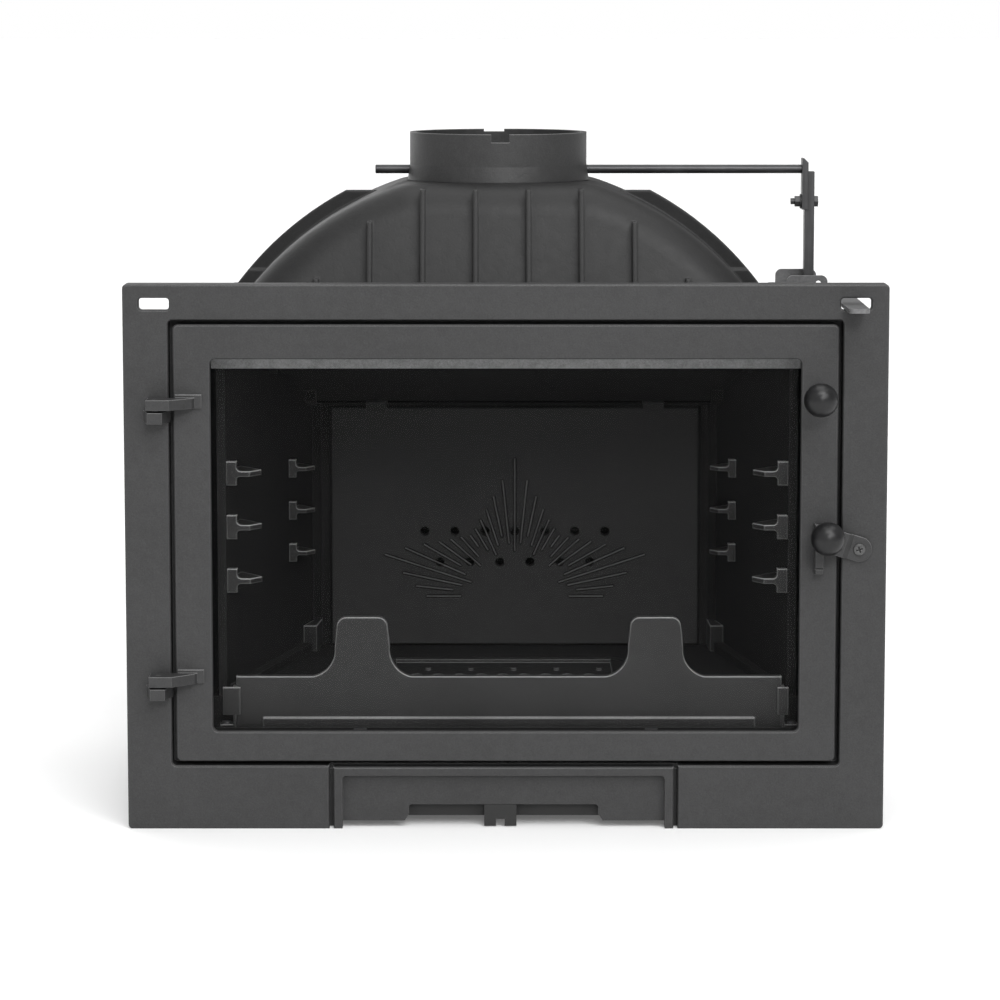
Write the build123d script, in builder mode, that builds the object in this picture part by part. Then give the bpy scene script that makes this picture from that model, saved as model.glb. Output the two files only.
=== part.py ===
from build123d import *
import os
from math import cos, radians, sin, sqrt, tan

# Cast-iron fireplace insert: glazed door in a wide front frame, ribbed body, domed top with a
# flue collar, and a damper that is worked by a pull blade at the top right of the frame.
# Millimetres. X to the right as seen from the front, Y to the back, Z up, Z = 0 on the floor.
# "Depth" below always means the distance behind the front face of the frame.

os.makedirs("parts", exist_ok=True)

# ---------------------------------------------------------------- overall
frame_width = 700
frame_height = 506
body_depth = 390            # frame face to the ribs of the back wall
knob_reach = 54             # frame face to the front of the ball knobs
clear = 0.3                 # between pieces that move past each other
pin_clear = 0.1             # round a pin or rod in its bore
edge_break = 1.2            # small bevel of cast edges

# ---------------------------------------------------------------- front frame
frame_plate = 8
frame_corner = 4
frame_lip = 6               # thickness of the edge that is turned back
frame_lip_depth = 22
tunnel_wall = 6             # wall behind the door opening
opening_corner = 4
seat_plate = 6              # ring that the door seal closes on
seat_cover = 24.5           # how far that ring reaches into the door opening
slot_width = 27.8
slot_height = 10.8
slot_base = 482.7
slot_left_x = -321.3
slot_right_x = 319.8
slot_corner = 3

# ---------------------------------------------------------------- door
door_width = 609
door_height = 405.5
door_base = 63.7
door_gap = 4.2
door_depth = 17
door_corner = 5
door_rail = 34              # width of the door's side rails
door_rail_base = 27.9
door_rail_top = 31.7
view_corner = 5
view_bevel = 1.2            # bevel round the glass, on the front
glass_pocket = 7            # depth of the pocket's floor
glass_lap = 10
glass_lap_base = 6.7        # at the lower edge of the glass
glass_play = 1.5
glass_thick = 4
seal_thick = 2
rope_width = 9
rope_groove = 5
rope_inset = 7              # centre of the rope from the door's edge

hinge_x = -319.4
hinge_standoff = 14.5       # pin axis in front of the frame face
hinge_lug_bases = (125.0, 380.2)
hinge_lug_height = 10.3
hinge_arm_gap = 2.2
hinge_arm_height = 9.6
hinge_reach = 25            # front of the arms before the frame face
hinge_back = 4              # back of the arms before the frame face
hinge_end = 8               # arm beyond the pin axis
hinge_root = 22             # end of the arm's root from the door's edge
hinge_root_bevel = 4
hinge_pad = 3               # raised pad on the door at the root of each arm
hinge_pad_end = 26          # its end from the door's edge
hinge_pad_rise = 2.6
lug_root = 25
lug_tip = 13.5
lug_reach = 24
pin_radius = 2.5
pin_neck_radius = 2.0

clip_width = 12
clip_foot = 8
clip_toe = 8
clip_thick = 1.5
clip_screw_radius = 1.5
clip_head_radius = 3
clip_head = 1.6

knob_diameter = 31
knob_x = 285.1
knob_z = 403.9
knob_bore = 12
stud_radius = 4.5
stud_collar_radius = 8
stud_collar = 3
stud_thread_radius = 3
stud_thread = 10

# ---------------------------------------------------------------- latch
latch_x = 287.3
latch_pivot_z = 252
lever_width = 8.5
lever_base = 240.5
lever_top = 287.4
lever_front = 16            # lever's face before the door face
lever_groove_z = 246.2
lever_groove = 1.6
latch_knob_x = 292.7
latch_knob_z = 277.2
latch_boss_radius = 7
latch_boss_back = 10
nose_tip_x = 300.6
nose_base = 264
nose_height = 12
nose_thick = 4.5
nose_gap = 1.5              # behind the nose
latch_pin_radius = 4
latch_pin_seat = 8
latch_clip_radius = 5.2
latch_clip_thick = 1.5
keeper_x = 324.8
keeper_z = 262.3
keeper_turn = 18            # degrees, the keeper rises to the left
keeper_half = 11.5
keeper_length = 22.5
keeper_thick = 3
keeper_ramp_start = 9
keeper_ramp = 6
keeper_screw_radius = 2.5
keeper_head_radius = 5.5
keeper_head = 1.8

# ---------------------------------------------------------------- drawer and air slider
panel_x = -2
panel_width = 315
panel_gap = 4
panel_top_gap = 1.5
bay_stop = 1.5              # how far the frame's stops reach behind the panel
bay_stop_thick = 6
panel_thick = 12
panel_rim = 8
panel_recess = 8
panel_face_base = 6
panel_corner = 4
notch_width = 176
notch_top = 21.4
notch_corner = 3
notch_flare = 4             # the notch's lower corners lean outwards
notch_flare_height = 6
drawer_inset = 7.5          # box of the drawer, from the panel's ends
drawer_top = 50
drawer_wall = 2
drawer_length = 284
air_chamber = 12            # between the drawer's face and its box
slider_strip = 3
slider_end_gap = 1.5        # left at full travel before the panel's bosses
slider_base = 8.2
slider_top = 46
slider_travel = 20
slider_tab_x = -5
slider_tab_width = 30
slider_tab_base = 1
slider_tab_front = 8.5
slider_tab_thick = 3
slider_tab_arm = 6
slider_tab_slot = 8
slider_tab_slot_height = 6.3
slider_slot_x = 52
slider_slot_z = 27
slider_screw_radius = 2
slider_head_radius = 4
slider_head = 2
air_window = 20
air_window_base = 34
air_window_height = 9
air_window_pitch = 50
drawer_screw_in = 14.5      # from the panel's ends
drawer_screw_z = 36
drawer_screw_radius = 2.5
drawer_screw_head = 4.5
drawer_screw_head_thick = 3
drawer_boss_radius = 4.5

# ---------------------------------------------------------------- body
body_front_half = 286       # half width of the body behind the frame
body_rear_half = 250
wall = 8
rib_thick = 5
rib_proud = 12
rib_pitch = 50
rib_end_gap = 10
feet_height = 12
feet_radius = 14
base_plate = 8
flange_base = 472           # top of the walls, underside of the dome's flange
flange = 8
side_flange = 20
tunnel_play = 3             # beside the drawer
tunnel_side = 6
floor_top = 117
floor_plate = 8
sill_top = 90               # step in front of the floor, where the log retainer stands
sill_plate = 8
sill_depth = 42
sill_wall = 6
tie_radius = 4
tie_ear = 10
tie_ear_out = 9
tie_front_depth = 62
tie_rear_depth = 306
tie_nut_across = 13
tie_nut = 6
tie_rod_proud = 1.2         # above the nut
tie_spot = 4                # spot face in the dome's ears
tie_washer_radius = 9
tie_washer = 1.6
frame_bolt_radius = 3
frame_bolt_in = 4
frame_bolt_head = 4
frame_bolt_across = 10
frame_bolt_heights = (150, 270, 390)

# ---------------------------------------------------------------- dome and collar
flue_x = -7
flue_depth = 230
dome_radius = 304           # arc of the dome's cross-section
dome_axis_z = 300
dome_wall = 6
dome_crown = 591
dome_corner = 60            # where the arc meets the flat crown
dome_front_base = 70
dome_front_top = 106
dome_rear_base = 362
dome_rear_top = 340
dome_shoulder = 40
dome_rib = 4.4
dome_rib_pitch = 49.5
dome_rib_shift = 3.7        # middle of the ribs, to the right of the flue
dome_rib_proud = 11
dome_rib_tops = (587.5, 587.5, 558, 506)    # from the middle outwards
strip_proud = 13
strip_thick = 8
strip_top = 580.5
strip_step_top = 504
strip_step = 6
collar_top = 637
collar_radius = 85.6
collar_base_radius = 87.8
collar_straight_base = 606
collar_bore = 80
collar_spigot_radius = 82
collar_spigot = 17
collar_rim_round = 1
neck_radius = 92
neck_drop = 14
notch_front_width = 17
notch_front_depth = 7.7
notch_rear_width = 20
notch_in = 15               # how far the rim's cuts reach inside its bore
notch_rear_depth = 2.5
notch_rear_shift = 4.2      # to the left of the flue
collar_screw_radius = 3
collar_screw_head = 5
collar_screw_head_thick = 3

# ---------------------------------------------------------------- damper and its linkage
rod_radius = 4.25
rod_z = 600.8
rod_left_x = -126.2
disc_radius = 76
disc_thick = 4
disc_rest_tilt = 24         # degrees, front edge up
saddle_x = 38
saddle_width = 12
saddle_height = 11
saddle_length = 34
saddle_screw_x = 12
saddle_screw_radius = 2
saddle_head_radius = 3.5
saddle_head = 2.5
crank_x = 287.5
crank_thick = 6
crank_width = 18
crank_over = 10.5           # above the rod's axis
crank_under = 39
crank_bevel = 4             # its upper right corner
link_thick = 6
link_wide = 3.3             # how much wider the bar is below the crank
link_width = 16
link_top = 598.4
link_end = 462
link_bolt_z = 569.5
bolt_radius = 3
bolt_head = 4
bolt_across = 10
washer_radius = 7
washer_thick = 1.5
nut_thick = 5
bolt_end = 4
pull_thick = 4
pull_width = 19
pull_x = 318.5
pull_reach = 45
pull_hole_radius = 2.5
pull_hole_in = 6
pull_corner = 5
yoke_gap = 33               # between the yoke's tabs
yoke_sheet = 3
yoke_left_x = 264.2
yoke_front_left_x = 272.5
yoke_front_right_x = 312
yoke_front_top = 498.7
yoke_rear_right_x = 304
yoke_rear_top = 502.4
yoke_corner = 6
yoke_hole_radius = 2.7
yoke_hole_x = 303.2
yoke_hole_z = 491
yoke_window_play = 2.5
guide_depth = 106
guide_length = 16
guide_sheet = 2.7
guide_left_x = 262
guide_screw_x = 271
guide_screw_radius = 2.5
guide_head_radius = 4.5
guide_head = 3

# ---------------------------------------------------------------- firebox
liner = 8
liner_front = 44
liner_rear = 319
liner_top = 446
liner_foot = 9
liner_foot_height = 9
firebox_front_half = 261.7
firebox_rear_half = 201.2
firebox_shift = 9.3         # the rear of the firebox stands to the right of the middle
fireback_thick = 8
fireback_width = 372.4
fireback_top = 361
fireback_bevel = 3
back_liner_top = 362
fireback_clip_x = 138.5
fireback_clip_width = 21
fireback_clip_drop = 7
fireback_clip_thick = 2.4
sun_z = 167.6
sun_rays = 16               # from level to upright, on each side
sun_ray_width = 3.8
sun_groove = 2
sun_corners = ((0, 141), (44, 63), (134, 45), (90, 0))
sun_inner = 53
sun_inner_wave = 8
air_hole_radius = 4.6
air_hole_pitch = 30.1
air_row_z = (233.8, 202.6)
air_row_count = (7, 6)
air_box_half = 105
air_box_base = 190
air_box_top = 248
air_box_depth = 18
air_box_wall = 3
air_duct_half = 30
fireback_x = 9.6
corner_post = 7
corner_block_width = 13.3
corner_block_rear_width = 7
corner_block_height = 26
corner_block_depth = 39
support_levels = 3
support_tops = (337.5, 315.7)       # front and rear rows
support_pitches = (50.4, 41.7)
support_depths = (46, 235)
support_heights = (22.5, 17.7)
support_post = 9.5
support_prong = 12.3
support_prong_base = 8.3
support_prong_height = 5
support_round = 4
support_nose = 10           # the ledge's tip beyond the prong
support_nose_back = 14
support_thick = 8
support_tail = 42
baffle_thick = 10
baffle_front = 122
baffle_front_base = 438
baffle_play = 0.5
cleat_depths = (160, 285)
cleat_length = 22
cleat_width = 12
cleat_height = 10
deflector_sheet = 3
deflector_play = 6
deflector_lip = 30.5
deflector_lip_base = 426
deflector_lip_height = 12
deflector_lip_side = 12.2   # from the frame's mouth to the lip's end
deflector_back = 50
deflector_bend = 446
deflector_top = 468
deflector_foot = 12
deflector_foot_x = 200
grate_left_x = -107.8
grate_right_x = 103.6
grate_front = 62
grate_rear = 232
grate_plate = 5
grate_play = 1
grate_ledge = 7
grate_slot = 9
grate_slot_pitch = 20.8
grate_slot_end = 12
grate_bridge = 20
grate_stud_radius = 2.6
grate_stud_height = 2.2
grate_stud_depth = 188
grate_stud_pitch = 41.6
grate_lip = 4
grate_lip_height = 3
grate_rest = 7                # thickness of the ledge under the grate
hearth_pocket = 2
hearth_pocket_margin = 14
hearth_pocket_corner = 18
retainer_front = 30.3
retainer_thick = 8
retainer_half = 254
retainer_x = 3
retainer_top = 137.8
retainer_hump_top = 193.6
retainer_hump_x = 136.5
retainer_hump_half = 22.7
retainer_hump_flare = 20
retainer_hump_taper = 3
retainer_hump_corner = 9
retainer_foot_half = 229
retainer_foot = 2.7
retainer_foot_height = 9
bracket_front = 2.7
bracket_inner_lap = 4
bracket_base_gap = 12
bracket_side_gap = 20.8     # from the frame's mouth
bracket_screw_out = 10      # beyond the retainer's end
bracket_foot_edge = 1.5
bracket_top = 128
bracket_back = 2.5
bracket_screw_radius = 2
bracket_head_radius = 4
bracket_head = 2

# ---------------------------------------------------------------- what follows from them
front_y = (knob_reach - body_depth) / 2
back_out = body_depth - rib_proud
back_in = back_out - wall
opening_half = door_width / 2 + door_gap
opening_base = door_base - door_gap
opening_top = door_base + door_height + door_gap
seat_depth = door_depth - rope_groove + rope_width + clear
ring_back = seat_depth + seat_plate
mouth_half = opening_half - seat_cover
mouth_base = opening_base + seat_cover
mouth_top = opening_top - seat_cover
view_half = door_width / 2 - door_rail
view_base = door_base + door_rail_base
view_top = door_base + door_height - door_rail_top
door_mid = door_base + door_height / 2
glass_width = 2 * (view_half + glass_lap)
glass_height = view_top - view_base + glass_lap + glass_lap_base
glass_mid = (view_base - glass_lap_base + view_top + glass_lap) / 2
glass_front = glass_pocket + seal_thick
glass_back = glass_front + glass_thick
bay_left = panel_x - panel_width / 2 - panel_gap
bay_right = panel_x + panel_width / 2 + panel_gap
panel_top = opening_base - panel_top_gap
drawer_width = panel_width - 2 * drawer_inset
drawer_screw_x = panel_width / 2 - drawer_screw_in
slider_half = drawer_screw_x - drawer_boss_radius - slider_travel - slider_end_gap
base_top = feet_height + base_plate
floor_base = floor_top - floor_plate
flange_top = flange_base + flange
firebox_slope = (firebox_front_half - firebox_rear_half) / (liner_rear - liner_front)
fireback_front = liner_rear - fireback_thick
knob_centre = knob_reach - knob_diameter / 2
stud_root = knob_centre - knob_diameter / 2 + knob_bore
pull_z = slot_base + clear
link_x = crank_x + crank_thick
collar_screw_z = dome_crown - collar_spigot / 2
tie_places = [(side, depth) for side in (-1, 1) for depth in (tie_front_depth, tie_rear_depth)]


def facing(depth):
    """Plane parallel to the frame face at a depth behind it, looked at from the front."""
    return Plane(origin=(0, front_y + depth, 0), x_dir=(1, 0, 0), z_dir=(0, -1, 0))


def side_on(x):
    """Plane square to X, with Y across and Z up."""
    return Plane(origin=(x, 0, 0), x_dir=(0, 1, 0), z_dir=(1, 0, 0))


def level(z):
    """Level plane at a height."""
    return Plane.XY.offset(z)


def at(x, depth):
    """Point of a level plane, from its X and its depth."""
    return (x, front_y + depth)


def span(left, right, low, high, corner=0, mode=Mode.ADD):
    """Rectangle of a sketch between two limits each way, with rounded corners if asked."""
    with Locations(((left + right) / 2, (low + high) / 2)):
        if corner:
            RectangleRounded(right - left, high - low, corner, mode=mode)
        else:
            Rectangle(right - left, high - low, mode=mode)


def plate(depth, thick, left, right, low, high, corner=0, mode=Mode.ADD):
    """Upright plate parallel to the frame face."""
    with BuildSketch(facing(depth)) as outline:
        span(left, right, low, high, corner)
    extrude(outline.sketch, amount=-thick, mode=mode)


def block(left, right, near, far, low, high, mode=Mode.ADD):
    """Box between two limits each way, near and far being depths."""
    with BuildSketch(level(low)) as outline:
        span(left, right, front_y + near, front_y + far)
    extrude(outline.sketch, amount=high - low, mode=mode)


def rod_back(x, z, radius, near, far, mode=Mode.ADD):
    """Round bar or bore along Y, between two depths."""
    with BuildSketch(facing(near)) as outline:
        with Locations((x, z)):
            Circle(radius)
    extrude(outline.sketch, amount=-(far - near), mode=mode)


def rod_up(x, depth, radius, low, high, mode=Mode.ADD):
    """Round bar or bore along Z."""
    with BuildSketch(level(low)) as outline:
        with Locations(at(x, depth)):
            Circle(radius)
    extrude(outline.sketch, amount=high - low, mode=mode)


def rod_across(depth, z, radius, left, right, mode=Mode.ADD):
    """Round bar or bore along X."""
    with BuildSketch(side_on(left)) as outline:
        with Locations((front_y + depth, z)):
            Circle(radius)
    extrude(outline.sketch, amount=right - left, mode=mode)


def wall_half(depth):
    """Half width of the body's outer face at a depth."""
    share = (depth - ring_back) / (back_in - ring_back)
    return body_front_half + (body_rear_half - body_front_half) * share


def firebox_x(depth, side):
    """X of the firebox's inner face at a depth, on the left (-1) or right (1)."""
    half = firebox_front_half - firebox_slope * (depth - liner_front)
    return side * half + firebox_shift * depth / liner_rear


def body_outline(inset=0):
    """Level outline of the body behind the frame, in a sketch."""
    near, far = wall_half(ring_back) - inset, wall_half(back_out) - inset
    Polygon(at(-near, ring_back), at(near, ring_back), at(far, back_out), at(-far, back_out))


def collar_screw_bores():
    """Radial bores for the four screws that hold the flue collar."""
    for quarter in range(4):
        turn = radians(45 + 90 * quarter)
        outward = Plane(origin=(flue_x, front_y + flue_depth, collar_screw_z),
                        z_dir=(cos(turn), sin(turn), 0))
        with BuildSketch(outward.offset(collar_bore - 2)) as outline:
            Circle(collar_screw_radius)
        extrude(outline.sketch, amount=neck_radius - collar_bore, mode=Mode.SUBTRACT)


def tie_ears():
    """Ears for the tie rods, in the sketch of a level plate."""
    for side, depth in tie_places:
        centre = side * (wall_half(depth) + tie_ear_out)
        inner = side * (wall_half(depth) - tie_ear)
        span(min(centre, inner), max(centre, inner),
             front_y + depth - tie_ear, front_y + depth + tie_ear)
        with Locations(at(centre, depth)):
            Circle(tie_ear)


def tie_bores(low, high):
    """Bores for the tie rods through a level plate."""
    for side, depth in tie_places:
        rod_up(side * (wall_half(depth) + tie_ear_out), depth, tie_radius + clear,
               low, high, mode=Mode.SUBTRACT)


# ================================================================ front frame
with BuildPart() as front_frame:
    with BuildSketch(facing(0)):
        span(-frame_width / 2, frame_width / 2, 0, frame_height, frame_corner)
        span(-opening_half, opening_half, opening_base, opening_top, opening_corner,
             mode=Mode.SUBTRACT)
        span(bay_left, bay_right, -1, opening_base + 1, mode=Mode.SUBTRACT)
        for slot_x in (slot_left_x, slot_right_x):
            span(slot_x - slot_width / 2, slot_x + slot_width / 2,
                 slot_base, slot_base + slot_height, slot_corner, mode=Mode.SUBTRACT)
    extrude(amount=-frame_plate)
    chamfer(front_frame.faces().sort_by(Axis.Y)[0].edges(), edge_break)
    with BuildSketch(facing(frame_plate)):
        span(-frame_width / 2, frame_width / 2, 0, frame_height, frame_corner)
        span(frame_lip - frame_width / 2, frame_width / 2 - frame_lip,
             frame_lip, frame_height - frame_lip, mode=Mode.SUBTRACT)
    extrude(amount=frame_plate - frame_lip_depth)
    with BuildSketch(facing(frame_plate)):
        span(-opening_half - tunnel_wall, opening_half + tunnel_wall,
             opening_base - tunnel_wall, opening_top + tunnel_wall, opening_corner)
        span(-opening_half, opening_half, opening_base, opening_top, opening_corner,
             mode=Mode.SUBTRACT)
    extrude(amount=frame_plate - ring_back)
    with BuildSketch(facing(seat_depth)):
        span(-opening_half - tunnel_wall, opening_half + tunnel_wall,
             opening_base - tunnel_wall, opening_top + tunnel_wall, opening_corner)
        span(-mouth_half, mouth_half, mouth_base, mouth_top, opening_corner, mode=Mode.SUBTRACT)
    extrude(amount=-seat_plate)
    block(bay_left, bay_right, -1, frame_lip_depth + 1, -1, opening_base - tunnel_wall,
          mode=Mode.SUBTRACT)
    block(bay_left, bay_right, -1, panel_thick + 1, -1, opening_base, mode=Mode.SUBTRACT)
    stop_top = opening_base - tunnel_wall + 1
    stop_rear = panel_thick + clear + bay_stop_thick
    for side, edge_x in ((-1, bay_left), (1, bay_right)):
        stop_x = edge_x - side * (panel_gap + bay_stop)
        cheek_x = edge_x + side * frame_lip
        block(*sorted((stop_x, cheek_x)), panel_thick + clear, stop_rear, 0, stop_top)
        block(*sorted((edge_x, cheek_x)), frame_plate - 1, stop_rear, 0, stop_top)
    for lug_base in hinge_lug_bases:
        with BuildSketch(level(lug_base)):
            Polygon(at(hinge_x - lug_root / 2, 1), at(hinge_x - lug_tip / 2, -lug_reach),
                    at(hinge_x + lug_tip / 2, -lug_reach), at(hinge_x + lug_root / 2, 1))
        extrude(amount=hinge_lug_height)
        rod_up(hinge_x, -hinge_standoff, pin_radius, lug_base - 1,
               lug_base + hinge_lug_height + 1, mode=Mode.SUBTRACT)
    for side in (-1, 1):
        for bolt_z in frame_bolt_heights:
            rod_back(side * (body_front_half + side_flange / 2), bolt_z, frame_bolt_radius,
                     ring_back - frame_bolt_in, ring_back + 1, mode=Mode.SUBTRACT)
    rod_back(keeper_x, keeper_z, keeper_screw_radius, -1, frame_plate + 1, mode=Mode.SUBTRACT)
front_frame.part.label = "front_frame"
export_step(front_frame.part, "parts/front_frame.step")

with BuildPart() as hinge_pins:
    for lug_base in hinge_lug_bases:
        lug_top = lug_base + hinge_lug_height
        rod_up(hinge_x, -hinge_standoff, pin_radius, lug_base, lug_top + hinge_arm_gap - clear)
        rod_up(hinge_x, -hinge_standoff, pin_neck_radius, lug_top,
               lug_top + hinge_arm_gap + hinge_arm_height)
hinge_pins.part.label = "hinge_pins"
export_step(hinge_pins.part, "parts/hinge_pins.step")


# ================================================================ door
def ring_outline(inset, half_thick, corner):
    """Closed band of the door's outline in a sketch, its middle line inset from the edge."""
    outer, inner = inset - half_thick, inset + half_thick
    span(outer - door_width / 2, door_width / 2 - outer, door_base + outer,
         door_base + door_height - outer, corner + 2 * half_thick)
    span(inner - door_width / 2, door_width / 2 - inner, door_base + inner,
         door_base + door_height - inner, corner, mode=Mode.SUBTRACT)


pocket_half = glass_width / 2 + glass_play
pocket_base = glass_mid - glass_height / 2 - glass_play
pocket_top = glass_mid + glass_height / 2 + glass_play
clip_rise = (view_top - view_base) / 4
clip_side = view_half / 2
# centre on the pocket's edge, and the turn that points the clip's foot outwards
clip_places = (
    [(pocket_half, glass_mid + rise, 0) for rise in (-clip_rise, clip_rise)]
    + [(-pocket_half, glass_mid + rise, 180) for rise in (-clip_rise, clip_rise)]
    + [(run, pocket_top, 90) for run in (-clip_side, clip_side)]
    + [(run, pocket_base, -90) for run in (-clip_side, clip_side)])
rope_corner = rope_inset

with BuildPart() as door_frame:
    plate(0, door_depth, -door_width / 2, door_width / 2, door_base, door_base + door_height,
          door_corner)
    chamfer(door_frame.faces().sort_by(Axis.Y)[0].edges(), edge_break)
    plate(-1, door_depth + 2, -view_half, view_half, view_base, view_top, view_corner,
          mode=Mode.SUBTRACT)
    front_face = door_frame.faces().sort_by(Axis.Y)[0]
    chamfer(front_face.inner_wires()[0].edges(), view_bevel)
    plate(glass_pocket, door_depth - glass_pocket + 1, -pocket_half, pocket_half,
          pocket_base, pocket_top, view_corner, mode=Mode.SUBTRACT)
    with BuildSketch(facing(door_depth - rope_groove)):
        ring_outline(rope_inset, rope_width / 2 + clear, rope_corner)
    extrude(amount=-rope_groove - 1, mode=Mode.SUBTRACT)
    for lug_base in hinge_lug_bases:
        arm_base = lug_base + hinge_lug_height + hinge_arm_gap
        door_left = -door_width / 2
        with BuildSketch(level(arm_base)):
            Polygon(at(hinge_x - hinge_end, -hinge_reach),
                    at(hinge_x + hinge_end + 5, -hinge_reach),
                    at(door_left + hinge_root - hinge_root_bevel, -7),
                    at(door_left + hinge_root, 1),
                    at(door_left + 2, 1), at(door_left + 2, -hinge_back),
                    at(hinge_x - hinge_end, -hinge_back))
        extrude(amount=hinge_arm_height)
        plate(-hinge_pad, hinge_pad + 1, door_left + 2, door_left + hinge_pad_end,
              arm_base, arm_base + hinge_arm_height + hinge_pad_rise)
        rod_up(hinge_x, -hinge_standoff, pin_neck_radius + pin_clear, arm_base - 1,
               arm_base + hinge_arm_height + 1, mode=Mode.SUBTRACT)
    rod_back(knob_x, knob_z, stud_thread_radius, -1, stud_thread, mode=Mode.SUBTRACT)
    rod_back(latch_x, latch_pivot_z, latch_pin_radius + pin_clear, -1, door_depth + 1,
             mode=Mode.SUBTRACT)
    for clip_x, clip_z, turn in clip_places:
        screw_x = clip_x + clip_foot / 2 * cos(radians(turn))
        screw_z = clip_z + clip_foot / 2 * sin(radians(turn))
        rod_back(screw_x, screw_z, clip_screw_radius, glass_front, door_depth + 1,
                 mode=Mode.SUBTRACT)
door_frame.part.label = "door_frame"
export_step(door_frame.part, "parts/door_frame.step")

with BuildPart() as door_glass:
    plate(glass_front, glass_thick, -glass_width / 2, glass_width / 2,
          glass_mid - glass_height / 2, glass_mid + glass_height / 2, view_corner)
door_glass.part.label = "door_glass"
export_step(door_glass.part, "parts/door_glass.step")

with BuildPart() as glass_seal:
    plate(glass_pocket, seal_thick, -glass_width / 2, glass_width / 2,
          glass_mid - glass_height / 2, glass_mid + glass_height / 2, view_corner)
    plate(glass_pocket - 1, seal_thick + 2, -view_half - 1, view_half + 1,
          view_base - 1, view_top + 1, view_corner, mode=Mode.SUBTRACT)
glass_seal.part.label = "glass_seal"
export_step(glass_seal.part, "parts/glass_seal.step")

with BuildPart() as door_rope:
    with BuildSketch(facing(door_depth - rope_groove)):
        ring_outline(rope_inset, rope_width / 2, rope_corner)
    extrude(amount=-rope_width)
    rope_ends = door_rope.faces().sort_by(Axis.Y)
    fillet(rope_ends[-1].edges(), rope_width / 3)
door_rope.part.label = "door_rope"
export_step(door_rope.part, "parts/door_rope.step")

with BuildPart() as glass_clips:
    for clip_x, clip_z, turn in clip_places:
        clip_spot = Location((clip_x, clip_z, 0), (0, 0, turn))
        with BuildSketch(facing(door_depth)):
            with Locations(clip_spot):
                Rectangle(clip_foot, clip_width, align=(Align.MIN, Align.CENTER))
                with Locations((clip_foot / 2, 0)):
                    Circle(clip_screw_radius, mode=Mode.SUBTRACT)
        extrude(amount=-clip_thick)
        with BuildSketch(facing(glass_back)):
            with Locations(clip_spot):
                Rectangle(clip_toe, clip_width, align=(Align.MAX, Align.CENTER))
        extrude(amount=glass_back - door_depth - clip_thick)
glass_clips.part.label = "glass_clips"
export_step(glass_clips.part, "parts/glass_clips.step")

with BuildPart() as clip_screws:
    for clip_x, clip_z, turn in clip_places:
        screw_x = clip_x + clip_foot / 2 * cos(radians(turn))
        screw_z = clip_z + clip_foot / 2 * sin(radians(turn))
        rod_back(screw_x, screw_z, clip_screw_radius, glass_front, door_depth + clip_thick)
        rod_back(screw_x, screw_z, clip_head_radius, door_depth + clip_thick,
                 door_depth + clip_thick + clip_head)
clip_screws.part.label = "clip_screws"
export_step(clip_screws.part, "parts/clip_screws.step")

with BuildPart() as door_knob:
    with Locations((knob_x, front_y - knob_centre, knob_z)):
        Sphere(knob_diameter / 2)
    rod_back(knob_x, knob_z, stud_radius, -stud_root, 0, mode=Mode.SUBTRACT)
door_knob.part.label = "door_knob"
export_step(door_knob.part, "parts/door_knob.step")

with BuildPart() as door_knob_stud:
    rod_back(knob_x, knob_z, stud_radius, -stud_root, -stud_collar)
    rod_back(knob_x, knob_z, stud_collar_radius, -stud_collar, 0)
    rod_back(knob_x, knob_z, stud_thread_radius, 0, stud_thread)
door_knob_stud.part.label = "door_knob_stud"
export_step(door_knob_stud.part, "parts/door_knob_stud.step")

# ================================================================ latch
nose_front = nose_gap + nose_thick
lever_left, lever_right = latch_x - lever_width / 2, latch_x + lever_width / 2

with BuildPart() as latch_lever:
    plate(-lever_front, lever_front - clear, lever_left, lever_right, lever_base, lever_top)
    chamfer(latch_lever.faces().sort_by(Axis.Y)[0].edges(), edge_break)
    rod_back(latch_knob_x, latch_knob_z, latch_boss_radius, -lever_front, -latch_boss_back)
    plate(-nose_front, nose_thick, latch_x, nose_tip_x, nose_base, nose_base + nose_height)
    plate(-lever_front - 1, 3 + 1, lever_left - 1, lever_right + 1,
          lever_groove_z - lever_groove / 2, lever_groove_z + lever_groove / 2,
          mode=Mode.SUBTRACT)
    rod_back(latch_knob_x, latch_knob_z, stud_thread_radius, -lever_front - 1,
             stud_thread - lever_front, mode=Mode.SUBTRACT)
    rod_back(latch_x, latch_pivot_z, latch_pin_radius, -latch_pin_seat, 1, mode=Mode.SUBTRACT)
latch_lever.part.label = "latch_lever"
export_step(latch_lever.part, "parts/latch_lever.step")

with BuildPart() as latch_knob:
    with Locations((latch_knob_x, front_y - knob_centre, latch_knob_z)):
        Sphere(knob_diameter / 2)
    rod_back(latch_knob_x, latch_knob_z, stud_radius, -stud_root, 0, mode=Mode.SUBTRACT)
latch_knob.part.label = "latch_knob"
export_step(latch_knob.part, "parts/latch_knob.step")

with BuildPart() as latch_knob_stud:
    rod_back(latch_knob_x, latch_knob_z, stud_radius, -stud_root, -lever_front)
    rod_back(latch_knob_x, latch_knob_z, stud_thread_radius, -lever_front,
             stud_thread - lever_front)
latch_knob_stud.part.label = "latch_knob_stud"
export_step(latch_knob_stud.part, "parts/latch_knob_stud.step")

latch_pin_end = door_depth + clear + latch_clip_thick
with BuildPart() as latch_pivot:
    rod_back(latch_x, latch_pivot_z, latch_pin_radius, -latch_pin_seat, latch_pin_end)
latch_pivot.part.label = "latch_pivot"
export_step(latch_pivot.part, "parts/latch_pivot.step")

with BuildPart() as latch_clip:
    rod_back(latch_x, latch_pivot_z, latch_clip_radius, door_depth + clear, latch_pin_end)
    rod_back(latch_x, latch_pivot_z, latch_pin_radius, door_depth, latch_pin_end + 1,
             mode=Mode.SUBTRACT)
latch_clip.part.label = "latch_clip"
export_step(latch_clip.part, "parts/latch_clip.step")

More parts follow.
